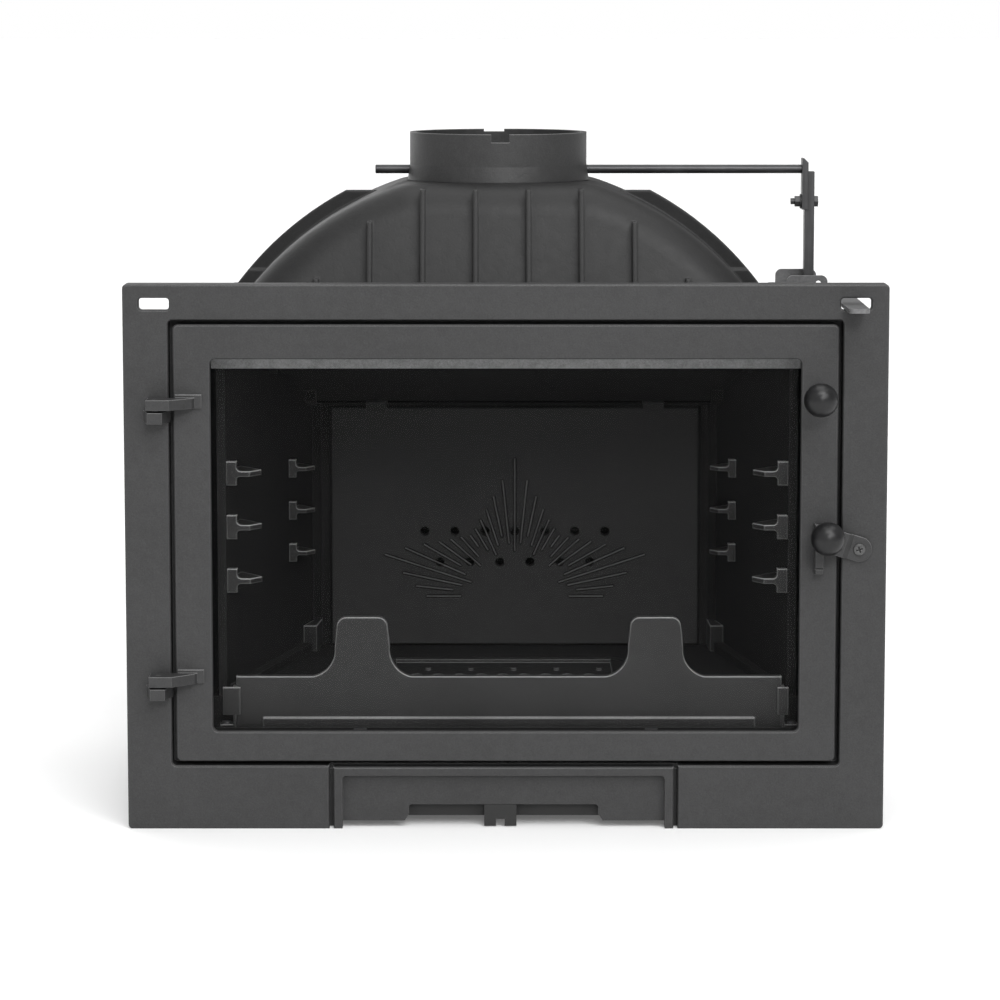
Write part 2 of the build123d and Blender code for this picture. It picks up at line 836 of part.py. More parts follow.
# The keeper lies flat at its screw and ramps forward to the left, over the lever's nose.
raised_back = nose_front + clear
raised_front = raised_back + keeper_thick
ramp_end = keeper_ramp_start + keeper_ramp
keeper_along = Plane(origin=(keeper_x, front_y, keeper_z), z_dir=(-sin(radians(keeper_turn)), 0,
                     -cos(radians(keeper_turn))), x_dir=(-cos(radians(keeper_turn)), 0,
                     sin(radians(keeper_turn))))
with BuildPart() as keeper_plate:
    with BuildSketch(keeper_along):
        Polygon((-keeper_half, 0), (keeper_ramp_start, 0), (ramp_end, -raised_back),
                (keeper_length, -raised_back), (keeper_length, -raised_front),
                (ramp_end - 1, -raised_front), (keeper_ramp_start - 1, -keeper_thick),
                (-keeper_half, -keeper_thick))
    extrude(amount=keeper_half, both=True)
    with BuildSketch(facing(1)):
        with Locations(Location((keeper_x, keeper_z, 0), (0, 0, -keeper_turn))):
            Circle(keeper_half)
            Rectangle(keeper_length, 2 * keeper_half, align=(Align.MAX, Align.CENTER))
    extrude(amount=raised_front + 2, mode=Mode.INTERSECT)
    rod_back(keeper_x, keeper_z, keeper_screw_radius, -keeper_thick - 1, 1, mode=Mode.SUBTRACT)
keeper_plate.part.label = "keeper_plate"
export_step(keeper_plate.part, "parts/keeper_plate.step")

with BuildPart() as keeper_screw:
    rod_back(keeper_x, keeper_z, keeper_head_radius, -keeper_thick - keeper_head, -keeper_thick)
    fillet(keeper_screw.faces().sort_by(Axis.Y)[0].edges(), keeper_head / 2)
    rod_back(keeper_x, keeper_z, keeper_screw_radius, -keeper_thick, frame_plate)
    with BuildSketch(facing(-keeper_thick - keeper_head - 1)):
        for turn in (keeper_turn, keeper_turn + 90):
            with Locations(Location((keeper_x, keeper_z, 0), (0, 0, turn))):
                Rectangle(keeper_head_radius * 1.1, keeper_head_radius / 4)
    extrude(amount=-1 - keeper_head * 0.7, mode=Mode.SUBTRACT)
keeper_screw.part.label = "keeper_screw"
export_step(keeper_screw.part, "parts/keeper_screw.step")

# ================================================================ ash drawer and air slider
panel_left, panel_right = panel_x - panel_width / 2, panel_x + panel_width / 2
drawer_front_wall = panel_thick + air_chamber
slider_back = drawer_front_wall - clear
slider_front = slider_back - slider_strip
window_xs = [panel_x + air_window_pitch * (step - 1.5) for step in range(4)]
drawer_screws_at = [panel_x - drawer_screw_x, panel_x + drawer_screw_x]
slider_screws_at = [panel_x - slider_slot_x, panel_x + slider_slot_x]

with BuildPart() as drawer_front:
    plate(0, panel_thick, panel_left, panel_right, 0, panel_top)
    chamfer(drawer_front.faces().sort_by(Axis.Y)[0].edges(), edge_break)
    plate(-1, panel_recess + 1, panel_left + panel_rim, panel_right - panel_rim,
          -20, panel_top - panel_rim, panel_corner, mode=Mode.SUBTRACT)
    plate(-1, panel_thick + 2, panel_left + panel_rim, panel_right - panel_rim,
          -20, panel_face_base, mode=Mode.SUBTRACT)
    plate(-1, panel_thick + 2, panel_x - notch_width / 2, panel_x + notch_width / 2,
          -20, notch_top, notch_corner, mode=Mode.SUBTRACT)
    for side in (-1, 1):
        notch_side = panel_x + side * notch_width / 2
        with BuildSketch(facing(-1)):
            Polygon((notch_side - side, panel_face_base - 1),
                    (notch_side + side * notch_flare, panel_face_base - 1),
                    (notch_side + side * notch_flare, panel_face_base),
                    (notch_side, panel_face_base + notch_flare_height),
                    (notch_side - side, panel_face_base + notch_flare_height))
        extrude(amount=-panel_thick - 2, mode=Mode.SUBTRACT)
    for screw_x in drawer_screws_at:
        rod_back(screw_x, drawer_screw_z, drawer_boss_radius, panel_thick, drawer_front_wall)
        rod_back(screw_x, drawer_screw_z, drawer_screw_radius, panel_recess + 1,
                 drawer_front_wall + 1, mode=Mode.SUBTRACT)
drawer_front.part.label = "drawer_front"
export_step(drawer_front.part, "parts/drawer_front.step")

drawer_base = base_top + clear
with BuildPart() as ash_drawer:
    block(panel_x - drawer_width / 2, panel_x + drawer_width / 2, drawer_front_wall,
          drawer_front_wall + drawer_length, drawer_base, drawer_top)
    block(panel_x - drawer_width / 2 + drawer_wall, panel_x + drawer_width / 2 - drawer_wall,
          drawer_front_wall + drawer_wall, drawer_front_wall + drawer_length - drawer_wall,
          drawer_base + drawer_wall, drawer_top + 1, mode=Mode.SUBTRACT)
    for window_x in window_xs:
        plate(drawer_front_wall - 1, drawer_wall + 2, window_x - air_window / 2,
              window_x + air_window / 2, air_window_base, air_window_base + air_window_height,
              mode=Mode.SUBTRACT)
    for screw_x in drawer_screws_at:
        rod_back(screw_x, drawer_screw_z, drawer_screw_radius, drawer_front_wall - 1,
                 drawer_front_wall + drawer_wall + 1, mode=Mode.SUBTRACT)
    for screw_x in slider_screws_at:
        rod_back(screw_x, slider_slot_z, slider_screw_radius, drawer_front_wall - 1,
                 drawer_front_wall + drawer_wall + 1, mode=Mode.SUBTRACT)
ash_drawer.part.label = "ash_drawer"
export_step(ash_drawer.part, "parts/ash_drawer.step")

with BuildPart() as drawer_screws:
    for screw_x in drawer_screws_at:
        rod_back(screw_x, drawer_screw_z, drawer_screw_radius, panel_recess + 1,
                 drawer_front_wall + drawer_wall)
        rod_back(screw_x, drawer_screw_z, drawer_screw_head, drawer_front_wall + drawer_wall,
                 drawer_front_wall + drawer_wall + drawer_screw_head_thick)
drawer_screws.part.label = "drawer_screws"
export_step(drawer_screws.part, "parts/drawer_screws.step")

with BuildPart() as air_slider:
    plate(slider_front, slider_strip, panel_x - slider_half, panel_x + slider_half,
          slider_base, slider_top)
    for window_x in window_xs:
        plate(slider_front - 1, slider_strip + 2, window_x - air_window / 2,
              window_x + air_window / 2, air_window_base, air_window_base + air_window_height,
              mode=Mode.SUBTRACT)
    for screw_x in slider_screws_at:
        with BuildSketch(facing(slider_front - 1)):
            with Locations((screw_x, slider_slot_z)):
                SlotCenterToCenter(2 * slider_travel, 2 * (slider_screw_radius + clear))
        extrude(amount=-slider_strip - 2, mode=Mode.SUBTRACT)
    block(slider_tab_x - slider_tab_width / 2, slider_tab_x + slider_tab_width / 2,
          slider_tab_front, slider_front, notch_top - clear - slider_tab_arm, notch_top - clear)
    with BuildSketch(facing(slider_tab_front)):
        span(slider_tab_x - slider_tab_width / 2, slider_tab_x + slider_tab_width / 2,
             slider_tab_base, notch_top - clear)
        span(slider_tab_x - slider_tab_slot / 2, slider_tab_x + slider_tab_slot / 2,
             slider_tab_base - 1, slider_tab_base + slider_tab_slot_height, mode=Mode.SUBTRACT)
    extrude(amount=-slider_tab_thick)
air_slider.part.label = "air_slider"
export_step(air_slider.part, "parts/air_slider.step")

with BuildPart() as slider_screws:
    for screw_x in slider_screws_at:
        rod_back(screw_x, slider_slot_z, slider_screw_radius, slider_front - clear,
                 drawer_front_wall + drawer_wall)
        rod_back(screw_x, slider_slot_z, slider_head_radius,
                 slider_front - clear - slider_head, slider_front - clear)
slider_screws.part.label = "slider_screws"
export_step(slider_screws.part, "parts/slider_screws.step")

# ================================================================ body castings
tunnel_left = panel_x - drawer_width / 2 - tunnel_play
tunnel_right = panel_x + drawer_width / 2 + tunnel_play

with BuildPart() as base_casting:
    with BuildSketch(level(feet_height)):
        body_outline()
        tie_ears()
    extrude(amount=base_plate)
    for inner, outer in ((tunnel_left - tunnel_side, tunnel_left),
                         (tunnel_right, tunnel_right + tunnel_side)):
        block(inner, outer, sill_depth + sill_wall, back_in, base_top, floor_base)
    for side, depth in tie_places:
        rod_up(side * (wall_half(depth) - 3 * feet_radius), depth, feet_radius, 0, feet_height)
    tie_bores(feet_height - 1, base_top + 1)
base_casting.part.label = "base_casting"
export_step(base_casting.part, "parts/base_casting.step")

for side, wall_name in ((-1, "left_side_wall"), (1, "right_side_wall")):
    with BuildPart() as side_wall:
        with BuildSketch(level(base_top)):
            near, far = wall_half(ring_back), wall_half(back_in)
            Polygon(at(side * near, ring_back), at(side * far, back_in),
                    at(side * (far - wall), back_in), at(side * (near - wall), ring_back))
            flange_limits = sorted((side * (near - wall), side * (near + side_flange)))
            span(*flange_limits, front_y + ring_back, front_y + ring_back + wall)
            rib_depth = ring_back + rib_pitch
            while rib_depth < back_in - rib_thick:
                limits = sorted((side * (wall_half(rib_depth) - 2),
                                 side * (wall_half(rib_depth) + rib_proud)))
                if abs(rib_depth - tie_rear_depth) > tie_ear + rib_thick:
                    span(*limits, front_y + rib_depth - rib_thick / 2,
                         front_y + rib_depth + rib_thick / 2)
                rib_depth += rib_pitch
        extrude(amount=flange_base - base_top)
        for bolt_z in frame_bolt_heights:
            rod_back(side * (body_front_half + side_flange / 2), bolt_z, frame_bolt_radius,
                     ring_back - 1, ring_back + wall + 1, mode=Mode.SUBTRACT)
    side_wall.part.label = wall_name
    export_step(side_wall.part, f"parts/{wall_name}.step")

with BuildPart() as back_wall:
    plate(back_in, wall, -body_rear_half, body_rear_half, base_top, flange_base)
    rib_count = int(2 * (body_rear_half - rib_end_gap) / rib_pitch) + 1
    with BuildSketch(facing(back_in + wall)):
        with Locations((0, (base_top + flange_base) / 2)):
            with GridLocations(rib_pitch, 1, rib_count, 1):
                Rectangle(rib_thick, flange_base - base_top - 2 * rib_end_gap)
    extrude(amount=-rib_proud)
back_wall.part.label = "back_wall"
export_step(back_wall.part, "parts/back_wall.step")

with BuildPart() as frame_bolts:
    for side in (-1, 1):
        for bolt_z in frame_bolt_heights:
            bolt_x = side * (body_front_half + side_flange / 2)
            rod_back(bolt_x, bolt_z, frame_bolt_radius, ring_back - frame_bolt_in,
                     ring_back + wall)
            with BuildSketch(facing(ring_back + wall)):
                with Locations((bolt_x, bolt_z)):
                    RegularPolygon(frame_bolt_across / 2, 6, major_radius=False)
            extrude(amount=-frame_bolt_head)
frame_bolts.part.label = "frame_bolts"
export_step(frame_bolts.part, "parts/frame_bolts.step")

tie_seat = flange_top - tie_spot
tie_end = tie_seat + tie_washer + tie_nut + tie_rod_proud
with BuildPart() as tie_rods:
    for side, depth in tie_places:
        rod_up(side * (wall_half(depth) + tie_ear_out), depth, tie_radius, feet_height, tie_end)
        with BuildSketch(level(feet_height)):
            with Locations(at(side * (wall_half(depth) + tie_ear_out), depth)):
                RegularPolygon(tie_nut_across / 2, 6, major_radius=False)
        extrude(amount=-tie_nut)
tie_rods.part.label = "tie_rods"
export_step(tie_rods.part, "parts/tie_rods.step")

with BuildPart() as tie_rod_nuts:
    for side, depth in tie_places:
        tie_x = side * (wall_half(depth) + tie_ear_out)
        rod_up(tie_x, depth, tie_washer_radius, tie_seat, tie_seat + tie_washer)
        with BuildSketch(level(tie_seat + tie_washer)):
            with Locations(at(tie_x, depth)):
                RegularPolygon(tie_nut_across / 2, 6, major_radius=False)
        extrude(amount=tie_nut)
        rod_up(tie_x, depth, tie_radius, tie_seat - 1, tie_end, mode=Mode.SUBTRACT)
tie_rod_nuts.part.label = "tie_rod_nuts"
export_step(tie_rod_nuts.part, "parts/tie_rod_nuts.step")


# ================================================================ dome
def dome_body(inset, base_z):
    """Arched block with slanted front and rear faces and round shoulders, smaller by inset."""
    half = dome_radius - inset
    crown = dome_crown - inset
    with BuildPart() as arched:
        with BuildSketch(facing(0)):
            with Locations((flue_x, dome_axis_z)):
                Circle(half)
            span(flue_x - half, flue_x + half, base_z, crown, mode=Mode.INTERSECT)
            fillet(vertices().group_by(Axis.Y)[-1], dome_corner)
        extrude(amount=-body_depth)
        rise = dome_crown - flange_top
        front_lean = (dome_front_top - dome_front_base) / rise
        rear_lean = (dome_rear_base - dome_rear_top) / rise
        low, high = base_z - flange_top, crown - flange_top
        with BuildSketch(side_on(flue_x)):
            Polygon(
                (front_y + dome_front_base + inset + front_lean * low, base_z),
                (front_y + dome_front_base + inset + front_lean * high, crown),
                (front_y + dome_rear_base - inset - rear_lean * high, crown),
                (front_y + dome_rear_base - inset - rear_lean * low, base_z))
        extrude(amount=half, both=True, mode=Mode.INTERSECT)
        for end_face in (faces().sort_by(Axis.Y)[0], faces().sort_by(Axis.Y)[-1]):
            rim = [edge for edge in end_face.edges()
                   if edge.bounding_box().max.Z > base_z + 0.1]
            fillet(rim, dome_shoulder - inset)
    return arched.part


dome_outside = dome_body(0, flange_top)
dome_inside = dome_body(dome_wall, flange_base - 1)
dome_lean = (dome_front_top - dome_front_base) / (dome_crown - flange_top)

with BuildPart() as dome:
    with BuildSketch(level(flange_base)):
        body_outline()
        tie_ears()
    extrude(amount=flange)
    add(dome_outside)
    for step, rib_top in enumerate(dome_rib_tops):
        for side in (-1, 1):
            rib_x = flue_x + dome_rib_shift + side * dome_rib_pitch * (step + 0.5)
            near = front_y + dome_front_base - dome_rib_proud
            lean = dome_lean * (rib_top - flange_top)
            with BuildSketch(side_on(rib_x)):
                Polygon((near, flange_top), (near + lean, rib_top),
                        (near + lean + 2 * dome_shoulder, rib_top),
                        (near + lean + 2 * dome_shoulder, flange_top))
            extrude(amount=dome_rib / 2, both=True)
    for near, thick, top in ((flue_depth - strip_thick / 2, strip_thick, strip_top),
                             (flue_depth - strip_thick / 2 - strip_step, strip_step,
                              strip_step_top)):
        with BuildSketch(facing(near)):
            with Locations((flue_x, dome_axis_z)):
                Circle(dome_radius + strip_proud)
                Circle(dome_radius - dome_wall / 2, mode=Mode.SUBTRACT)
            span(flue_x - 2 * dome_radius, flue_x + 2 * dome_radius, flange_top, top,
                 mode=Mode.INTERSECT)
        extrude(amount=-thick)
    add(dome_inside, mode=Mode.SUBTRACT)
    rod_up(flue_x, flue_depth, neck_radius, dome_crown - neck_drop, dome_crown - dome_wall / 2)
    rod_up(flue_x, flue_depth, collar_spigot_radius + clear, flange_top, collar_top,
           mode=Mode.SUBTRACT)
    for side, depth in tie_places:
        rod_up(side * (wall_half(depth) + tie_ear_out), depth, tie_ear + clear, tie_seat,
               flange_top + 1, mode=Mode.SUBTRACT)
    tie_bores(flange_base - 1, flange_top + 1)
    collar_screw_bores()
    rod_up(guide_screw_x, guide_depth + guide_length / 2, guide_screw_radius, flange_base - 1,
           flange_top + 1, mode=Mode.SUBTRACT)
dome.part.label = "dome"
export_step(dome.part, "parts/dome.step")

with BuildPart() as flue_collar:
    with BuildSketch(Plane(origin=(flue_x, front_y + flue_depth, 0), x_dir=(1, 0, 0),
                           z_dir=(0, -1, 0))):
        Polygon((collar_bore, dome_crown - collar_spigot),
                (collar_spigot_radius, dome_crown - collar_spigot),
                (collar_spigot_radius, dome_crown), (collar_base_radius, dome_crown),
                (collar_radius, collar_straight_base), (collar_radius, collar_top),
                (collar_bore, collar_top))
    revolve(axis=Axis((flue_x, front_y + flue_depth, 0), (0, 0, 1)))
    block(flue_x + 2 - notch_front_width / 2, flue_x + 2 + notch_front_width / 2,
          flue_depth - collar_radius - 5, flue_depth - collar_bore + notch_in,
          collar_top - notch_front_depth, collar_top + 1, mode=Mode.SUBTRACT)
    notch_rear_x = flue_x - notch_rear_shift
    block(notch_rear_x - notch_rear_width / 2, notch_rear_x + notch_rear_width / 2,
          flue_depth + collar_bore - notch_in, flue_depth + collar_radius + 5,
          collar_top - notch_rear_depth, collar_top + 1, mode=Mode.SUBTRACT)
    rod_across(flue_depth, rod_z, rod_radius + pin_clear, flue_x - collar_base_radius - 5,
               flue_x + collar_base_radius + 5, mode=Mode.SUBTRACT)
    collar_screw_bores()
flue_collar.part.label = "flue_collar"
export_step(flue_collar.part, "parts/flue_collar.step")

# ================================================================ damper and its linkage
with BuildPart() as damper_rod:
    rod_across(flue_depth, rod_z, rod_radius, rod_left_x, crank_x + crank_thick)
    chamfer(damper_rod.faces().sort_by(Axis.X)[0].edges(), edge_break / 2)
damper_rod.part.label = "damper_rod"
export_step(damper_rod.part, "parts/damper_rod.step")

# The disc lies against the underside of the rod, tilted with its front edge up.
tilted = Plane(origin=(flue_x, front_y + flue_depth, rod_z), x_dir=(1, 0, 0),
               z_dir=(0, sin(radians(disc_rest_tilt)), cos(radians(disc_rest_tilt))))
saddle_spots = [(side * saddle_x, 0) for side in (-1, 1)]
saddle_screw_spots = [(side * saddle_x, end * saddle_screw_x) for side in (-1, 1)
                      for end in (-1, 1)]
with BuildPart() as damper_disc:
    with BuildSketch(tilted.offset(-rod_radius)):
        Circle(disc_radius)
        with Locations(*saddle_screw_spots):
            Circle(saddle_screw_radius, mode=Mode.SUBTRACT)
    extrude(amount=-disc_thick)
damper_disc.part.label = "damper_disc"
export_step(damper_disc.part, "parts/damper_disc.step")

with BuildPart() as damper_saddles:
    with BuildSketch(tilted.offset(-rod_radius)):
        with Locations(*saddle_spots):
            Rectangle(saddle_width, saddle_length)
    extrude(amount=saddle_height)
    with BuildSketch(tilted.offset(-rod_radius - 1)):
        with Locations(*saddle_spots):
            Rectangle(saddle_width + 2, 2 * rod_radius)
    extrude(amount=rod_radius + 1, mode=Mode.SUBTRACT)
    rod_across(flue_depth, rod_z, rod_radius, flue_x - 2 * saddle_x, flue_x + 2 * saddle_x,
               mode=Mode.SUBTRACT)
    with BuildSketch(tilted.offset(-rod_radius - 1)):
        with Locations(*saddle_screw_spots):
            Circle(saddle_screw_radius)
    extrude(amount=saddle_height + 2, mode=Mode.SUBTRACT)
damper_saddles.part.label = "damper_saddles"
export_step(damper_saddles.part, "parts/damper_saddles.step")

with BuildPart() as saddle_screws:
    with BuildSketch(tilted.offset(-rod_radius - disc_thick)):
        with Locations(*saddle_screw_spots):
            Circle(saddle_screw_radius)
    extrude(amount=disc_thick + saddle_height)
    with BuildSketch(tilted.offset(saddle_height - rod_radius)):
        with Locations(*saddle_screw_spots):
            Circle(saddle_head_radius)
    extrude(amount=saddle_head)
saddle_screws.part.label = "saddle_screws"
export_step(saddle_screws.part, "parts/saddle_screws.step")

with BuildPart() as damper_crank:
    block(crank_x, crank_x + crank_thick, flue_depth - crank_width / 2,
          flue_depth + crank_width / 2, rod_z - crank_under, rod_z + crank_over)
    top_edges = damper_crank.faces().sort_by(Axis.Z)[-1].edges()
    chamfer(top_edges.filter_by(Axis.Y).sort_by(Axis.X)[-1], crank_bevel)
    rod_across(flue_depth, rod_z, rod_radius, crank_x - 1, crank_x + crank_thick + 1,
               mode=Mode.SUBTRACT)
    rod_across(flue_depth, link_bolt_z, bolt_radius, crank_x - 1, crank_x + crank_thick + 1,
               mode=Mode.SUBTRACT)
damper_crank.part.label = "damper_crank"
export_step(damper_crank.part, "parts/damper_crank.step")

with BuildPart() as link_bar:
    block(link_x, link_x + link_thick, flue_depth - link_width / 2, flue_depth + link_width / 2,
          link_end, link_top)
    block(link_x - link_wide, link_x, flue_depth - link_width / 2, flue_depth + link_width / 2,
          link_end, rod_z - crank_under - clear)
    rod_across(flue_depth, link_bolt_z, bolt_radius, link_x - 1, link_x + link_thick + 1,
               mode=Mode.SUBTRACT)
link_bar.part.label = "link_bar"
export_step(link_bar.part, "parts/link_bar.step")

with BuildPart() as link_bolt:
    rod_across(flue_depth, link_bolt_z, bolt_radius,
               crank_x - washer_thick - nut_thick - bolt_end, link_x + link_thick)
    with BuildSketch(side_on(link_x + link_thick)):
        with Locations((front_y + flue_depth, link_bolt_z)):
            RegularPolygon(bolt_across / 2, 6, major_radius=False)
    extrude(amount=bolt_head)
link_bolt.part.label = "link_bolt"
export_step(link_bolt.part, "parts/link_bolt.step")

with BuildPart() as link_nut:
    with BuildSketch(side_on(crank_x - washer_thick - nut_thick)):
        with Locations((front_y + flue_depth, link_bolt_z)):
            RegularPolygon(bolt_across / 2, 6, major_radius=False)
    extrude(amount=nut_thick)
    rod_across(flue_depth, link_bolt_z, washer_radius, crank_x - washer_thick, crank_x)
    rod_across(flue_depth, link_bolt_z, bolt_radius, crank_x - washer_thick - nut_thick - 1,
               crank_x + 1, mode=Mode.SUBTRACT)
link_nut.part.label = "link_nut"
export_step(link_nut.part, "parts/link_nut.step")

pull_left, pull_right = pull_x - pull_width / 2, pull_x + pull_width / 2
tab_front = flue_depth - yoke_gap / 2
tab_rear = flue_depth + yoke_gap / 2
with BuildPart() as damper_pull:
    with BuildSketch(level(pull_z)):
        span(pull_left, pull_right, front_y - pull_reach, front_y + tab_rear + yoke_sheet)
        fillet(vertices().group_by(Axis.Y)[0], pull_corner)
        span(yoke_left_x, pull_right, front_y + tab_front - yoke_sheet,
             front_y + tab_rear + yoke_sheet)
        span(link_x - link_wide - yoke_window_play, link_x + link_thick + yoke_window_play,
             front_y + tab_front, front_y + tab_rear, mode=Mode.SUBTRACT)
        with Locations(at(pull_x, pull_hole_in - pull_reach)):
            Circle(pull_hole_radius, mode=Mode.SUBTRACT)
    extrude(amount=pull_thick)
    with BuildSketch(facing(tab_front - yoke_sheet)):
        span(yoke_front_left_x, yoke_front_right_x, pull_z, yoke_front_top)
        fillet(vertices().group_by(Axis.Y)[-1], yoke_corner)
        with Locations((yoke_hole_x, yoke_hole_z)):
            Circle(yoke_hole_radius, mode=Mode.SUBTRACT)
    extrude(amount=-yoke_sheet)
    with BuildSketch(facing(tab_rear)):
        span(yoke_left_x, yoke_rear_right_x, pull_z, yoke_rear_top)
        fillet(vertices().group_by(Axis.Y)[-1], yoke_corner)
    extrude(amount=-yoke_sheet)
damper_pull.part.label = "damper_pull"
export_step(damper_pull.part, "parts/damper_pull.step")

guide_rear = guide_depth + guide_length
with BuildPart() as pull_guide:
    block(guide_left_x, pull_right + clear + guide_sheet, guide_depth, guide_rear,
          flange_top, flange_top + guide_sheet)
    block(pull_left - clear - guide_sheet, pull_right + clear + guide_sheet, guide_depth,
          guide_rear, flange_top, pull_z + pull_thick + clear + guide_sheet)
    block(pull_left - clear, pull_right + clear, guide_depth - 1, guide_rear + 1,
          flange_top + guide_sheet, pull_z + pull_thick + clear, mode=Mode.SUBTRACT)
    rod_up(guide_screw_x, guide_depth + guide_length / 2, guide_screw_radius, flange_top - 1,
           flange_top + guide_sheet + 1, mode=Mode.SUBTRACT)
pull_guide.part.label = "pull_guide"
export_step(pull_guide.part, "parts/pull_guide.step")

with BuildPart() as guide_screw:
    rod_up(guide_screw_x, guide_depth + guide_length / 2, guide_screw_radius, flange_base,
           flange_top + guide_sheet)
    rod_up(guide_screw_x, guide_depth + guide_length / 2, guide_head_radius,
           flange_top + guide_sheet, flange_top + guide_sheet + guide_head)
guide_screw.part.label = "guide_screw"
export_step(guide_screw.part, "parts/guide_screw.step")

# ================================================================ hearth
grate_half = (grate_right_x - grate_left_x) / 2
grate_x = (grate_right_x + grate_left_x) / 2
grate_top = floor_top - hearth_pocket
grate_base = grate_top - grate_plate
pocket_left = grate_left_x - hearth_pocket_margin
pocket_right = grate_right_x + hearth_pocket_margin
inner_near = wall_half(ring_back) - wall - clear
inner_rear = wall_half(back_in) - wall - clear
duct_front = liner_rear + liner + air_box_wall
duct_rear = liner_rear + liner + air_box_depth - air_box_wall

with BuildPart() as hearth_floor:
    with BuildSketch(level(floor_base)):
        Polygon(at(-inner_near, ring_back), at(inner_near, ring_back),
                at(inner_rear, back_in), at(-inner_rear, back_in))
    extrude(amount=floor_plate)
    block(-inner_near, inner_near, ring_back - 1, sill_depth, floor_base - 1, floor_top + 1,
          mode=Mode.SUBTRACT)
    sill_half = wall_half(sill_depth + sill_wall) - wall - clear
    block(-sill_half, sill_half, sill_depth, sill_depth + sill_wall, sill_top - sill_plate,
          floor_top)
    block(-sill_half, sill_half, ring_back, sill_depth + sill_wall, sill_top - sill_plate,
          sill_top)
    block(grate_left_x - grate_ledge, grate_right_x + grate_ledge, grate_front - grate_ledge,
          grate_rear + grate_ledge, grate_base - grate_rest, floor_top)
    with BuildSketch(level(grate_top)):
        span(pocket_left, pocket_right, front_y + sill_depth + sill_wall,
             front_y + grate_rear + hearth_pocket_margin, hearth_pocket_corner)
    extrude(amount=hearth_pocket + 1, mode=Mode.SUBTRACT)
    block(grate_left_x - grate_play, grate_right_x + grate_play, grate_front - grate_play,
          grate_rear + grate_play, grate_base, floor_top + 1, mode=Mode.SUBTRACT)
    block(grate_left_x + grate_ledge, grate_right_x - grate_ledge, grate_front + grate_ledge,
          grate_rear - grate_ledge, sill_top, floor_top, mode=Mode.SUBTRACT)
    block(fireback_x - air_duct_half + air_box_wall, fireback_x + air_duct_half - air_box_wall,
          duct_front, duct_rear, floor_base - 1, floor_top + 1, mode=Mode.SUBTRACT)
    for side in (-1, 1):
        rod_up(retainer_x + side * (retainer_half + bracket_screw_out), retainer_front + 6,
               bracket_screw_radius, sill_top - sill_plate - 1, sill_top + 1,
               mode=Mode.SUBTRACT)
hearth_floor.part.label = "hearth_floor"
export_step(hearth_floor.part, "parts/hearth_floor.step")

stud_middle = fireback_x - 1.8
with BuildPart() as fire_grate:
    block(grate_left_x, grate_right_x, grate_front, grate_rear, grate_base, grate_top)
    block(grate_left_x, grate_right_x, grate_rear - grate_lip, grate_rear, grate_top,
          grate_top + grate_lip_height)
    slot_near, slot_far = grate_front + grate_slot_end, grate_stud_depth - grate_bridge
    with BuildSketch(level(grate_base - 1)):
        for step in range(-5, 4):
            slot_x = stud_middle + grate_slot_pitch * (step + 0.5)
            with Locations(at(slot_x, (slot_near + slot_far) / 2)):
                SlotOverall(slot_far - slot_near, grate_slot, rotation=90)
    extrude(amount=grate_plate + 2, mode=Mode.SUBTRACT)
    for step in range(-2, 3):
        rod_up(stud_middle + grate_stud_pitch * step, grate_stud_depth, grate_stud_radius,
               grate_top, grate_top + grate_stud_height)
fire_grate.part.label = "fire_grate"
export_step(fire_grate.part, "parts/fire_grate.step")

# ================================================================ lining of the firebox
for side, liner_name in ((-1, "left_liner"), (1, "right_liner")):
    with BuildPart() as side_liner:
        with BuildSketch(level(floor_top)):
            near, far = firebox_x(liner_front, side), firebox_x(liner_rear, side)
            Polygon(at(near, liner_front), at(far, liner_rear),
                    at(far + side * liner, liner_rear), at(near + side * liner, liner_front))
        extrude(amount=liner_top - floor_top)
        with BuildSketch(level(floor_top)):
            near, far = liner_front + liner_foot, liner_rear - corner_block_depth - clear
            Polygon(at(firebox_x(near, side) + side, near),
                    at(firebox_x(far, side) + side, far),
                    at(firebox_x(far, side) - side * liner_foot, far),
                    at(firebox_x(near, side) - side * liner_foot, near))
        extrude(amount=liner_foot_height)
    side_liner.part.label = liner_name
    export_step(side_liner.part, f"parts/{liner_name}.step")

air_holes = [(fireback_x + air_hole_pitch * (index - (count - 1) / 2), row_z)
             for row_z, count in zip(air_row_z, air_row_count) for index in range(count)]
liner_left = firebox_x(liner_rear, -1) - liner
liner_right = firebox_x(liner_rear, 1) + liner

with BuildPart() as back_liner:
    plate(liner_rear, liner, liner_left, liner_right, floor_top, back_liner_top)
    with BuildSketch(facing(liner_rear - 1)):
        with Locations(*air_holes):
            Circle(air_hole_radius)
    extrude(amount=-liner - 2, mode=Mode.SUBTRACT)
back_liner.part.label = "back_liner"
export_step(back_liner.part, "parts/back_liner.step")


def sun_outer(angle):
    """Length of the ray at an angle above level, out to the outline of the star."""
    reach = 0
    for (x0, z0), (x1, z1) in zip(sun_corners, sun_corners[1:]):
        across = (x1 - x0) * sin(angle) - (z1 - z0) * cos(angle)
        share = (z0 * cos(angle) - x0 * sin(angle)) / across
        if -0.001 <= share <= 1.001:
            reach = max(reach, (x0 + (x1 - x0) * share) * cos(angle)
                        + (z0 + (z1 - z0) * share) * sin(angle))
    return reach


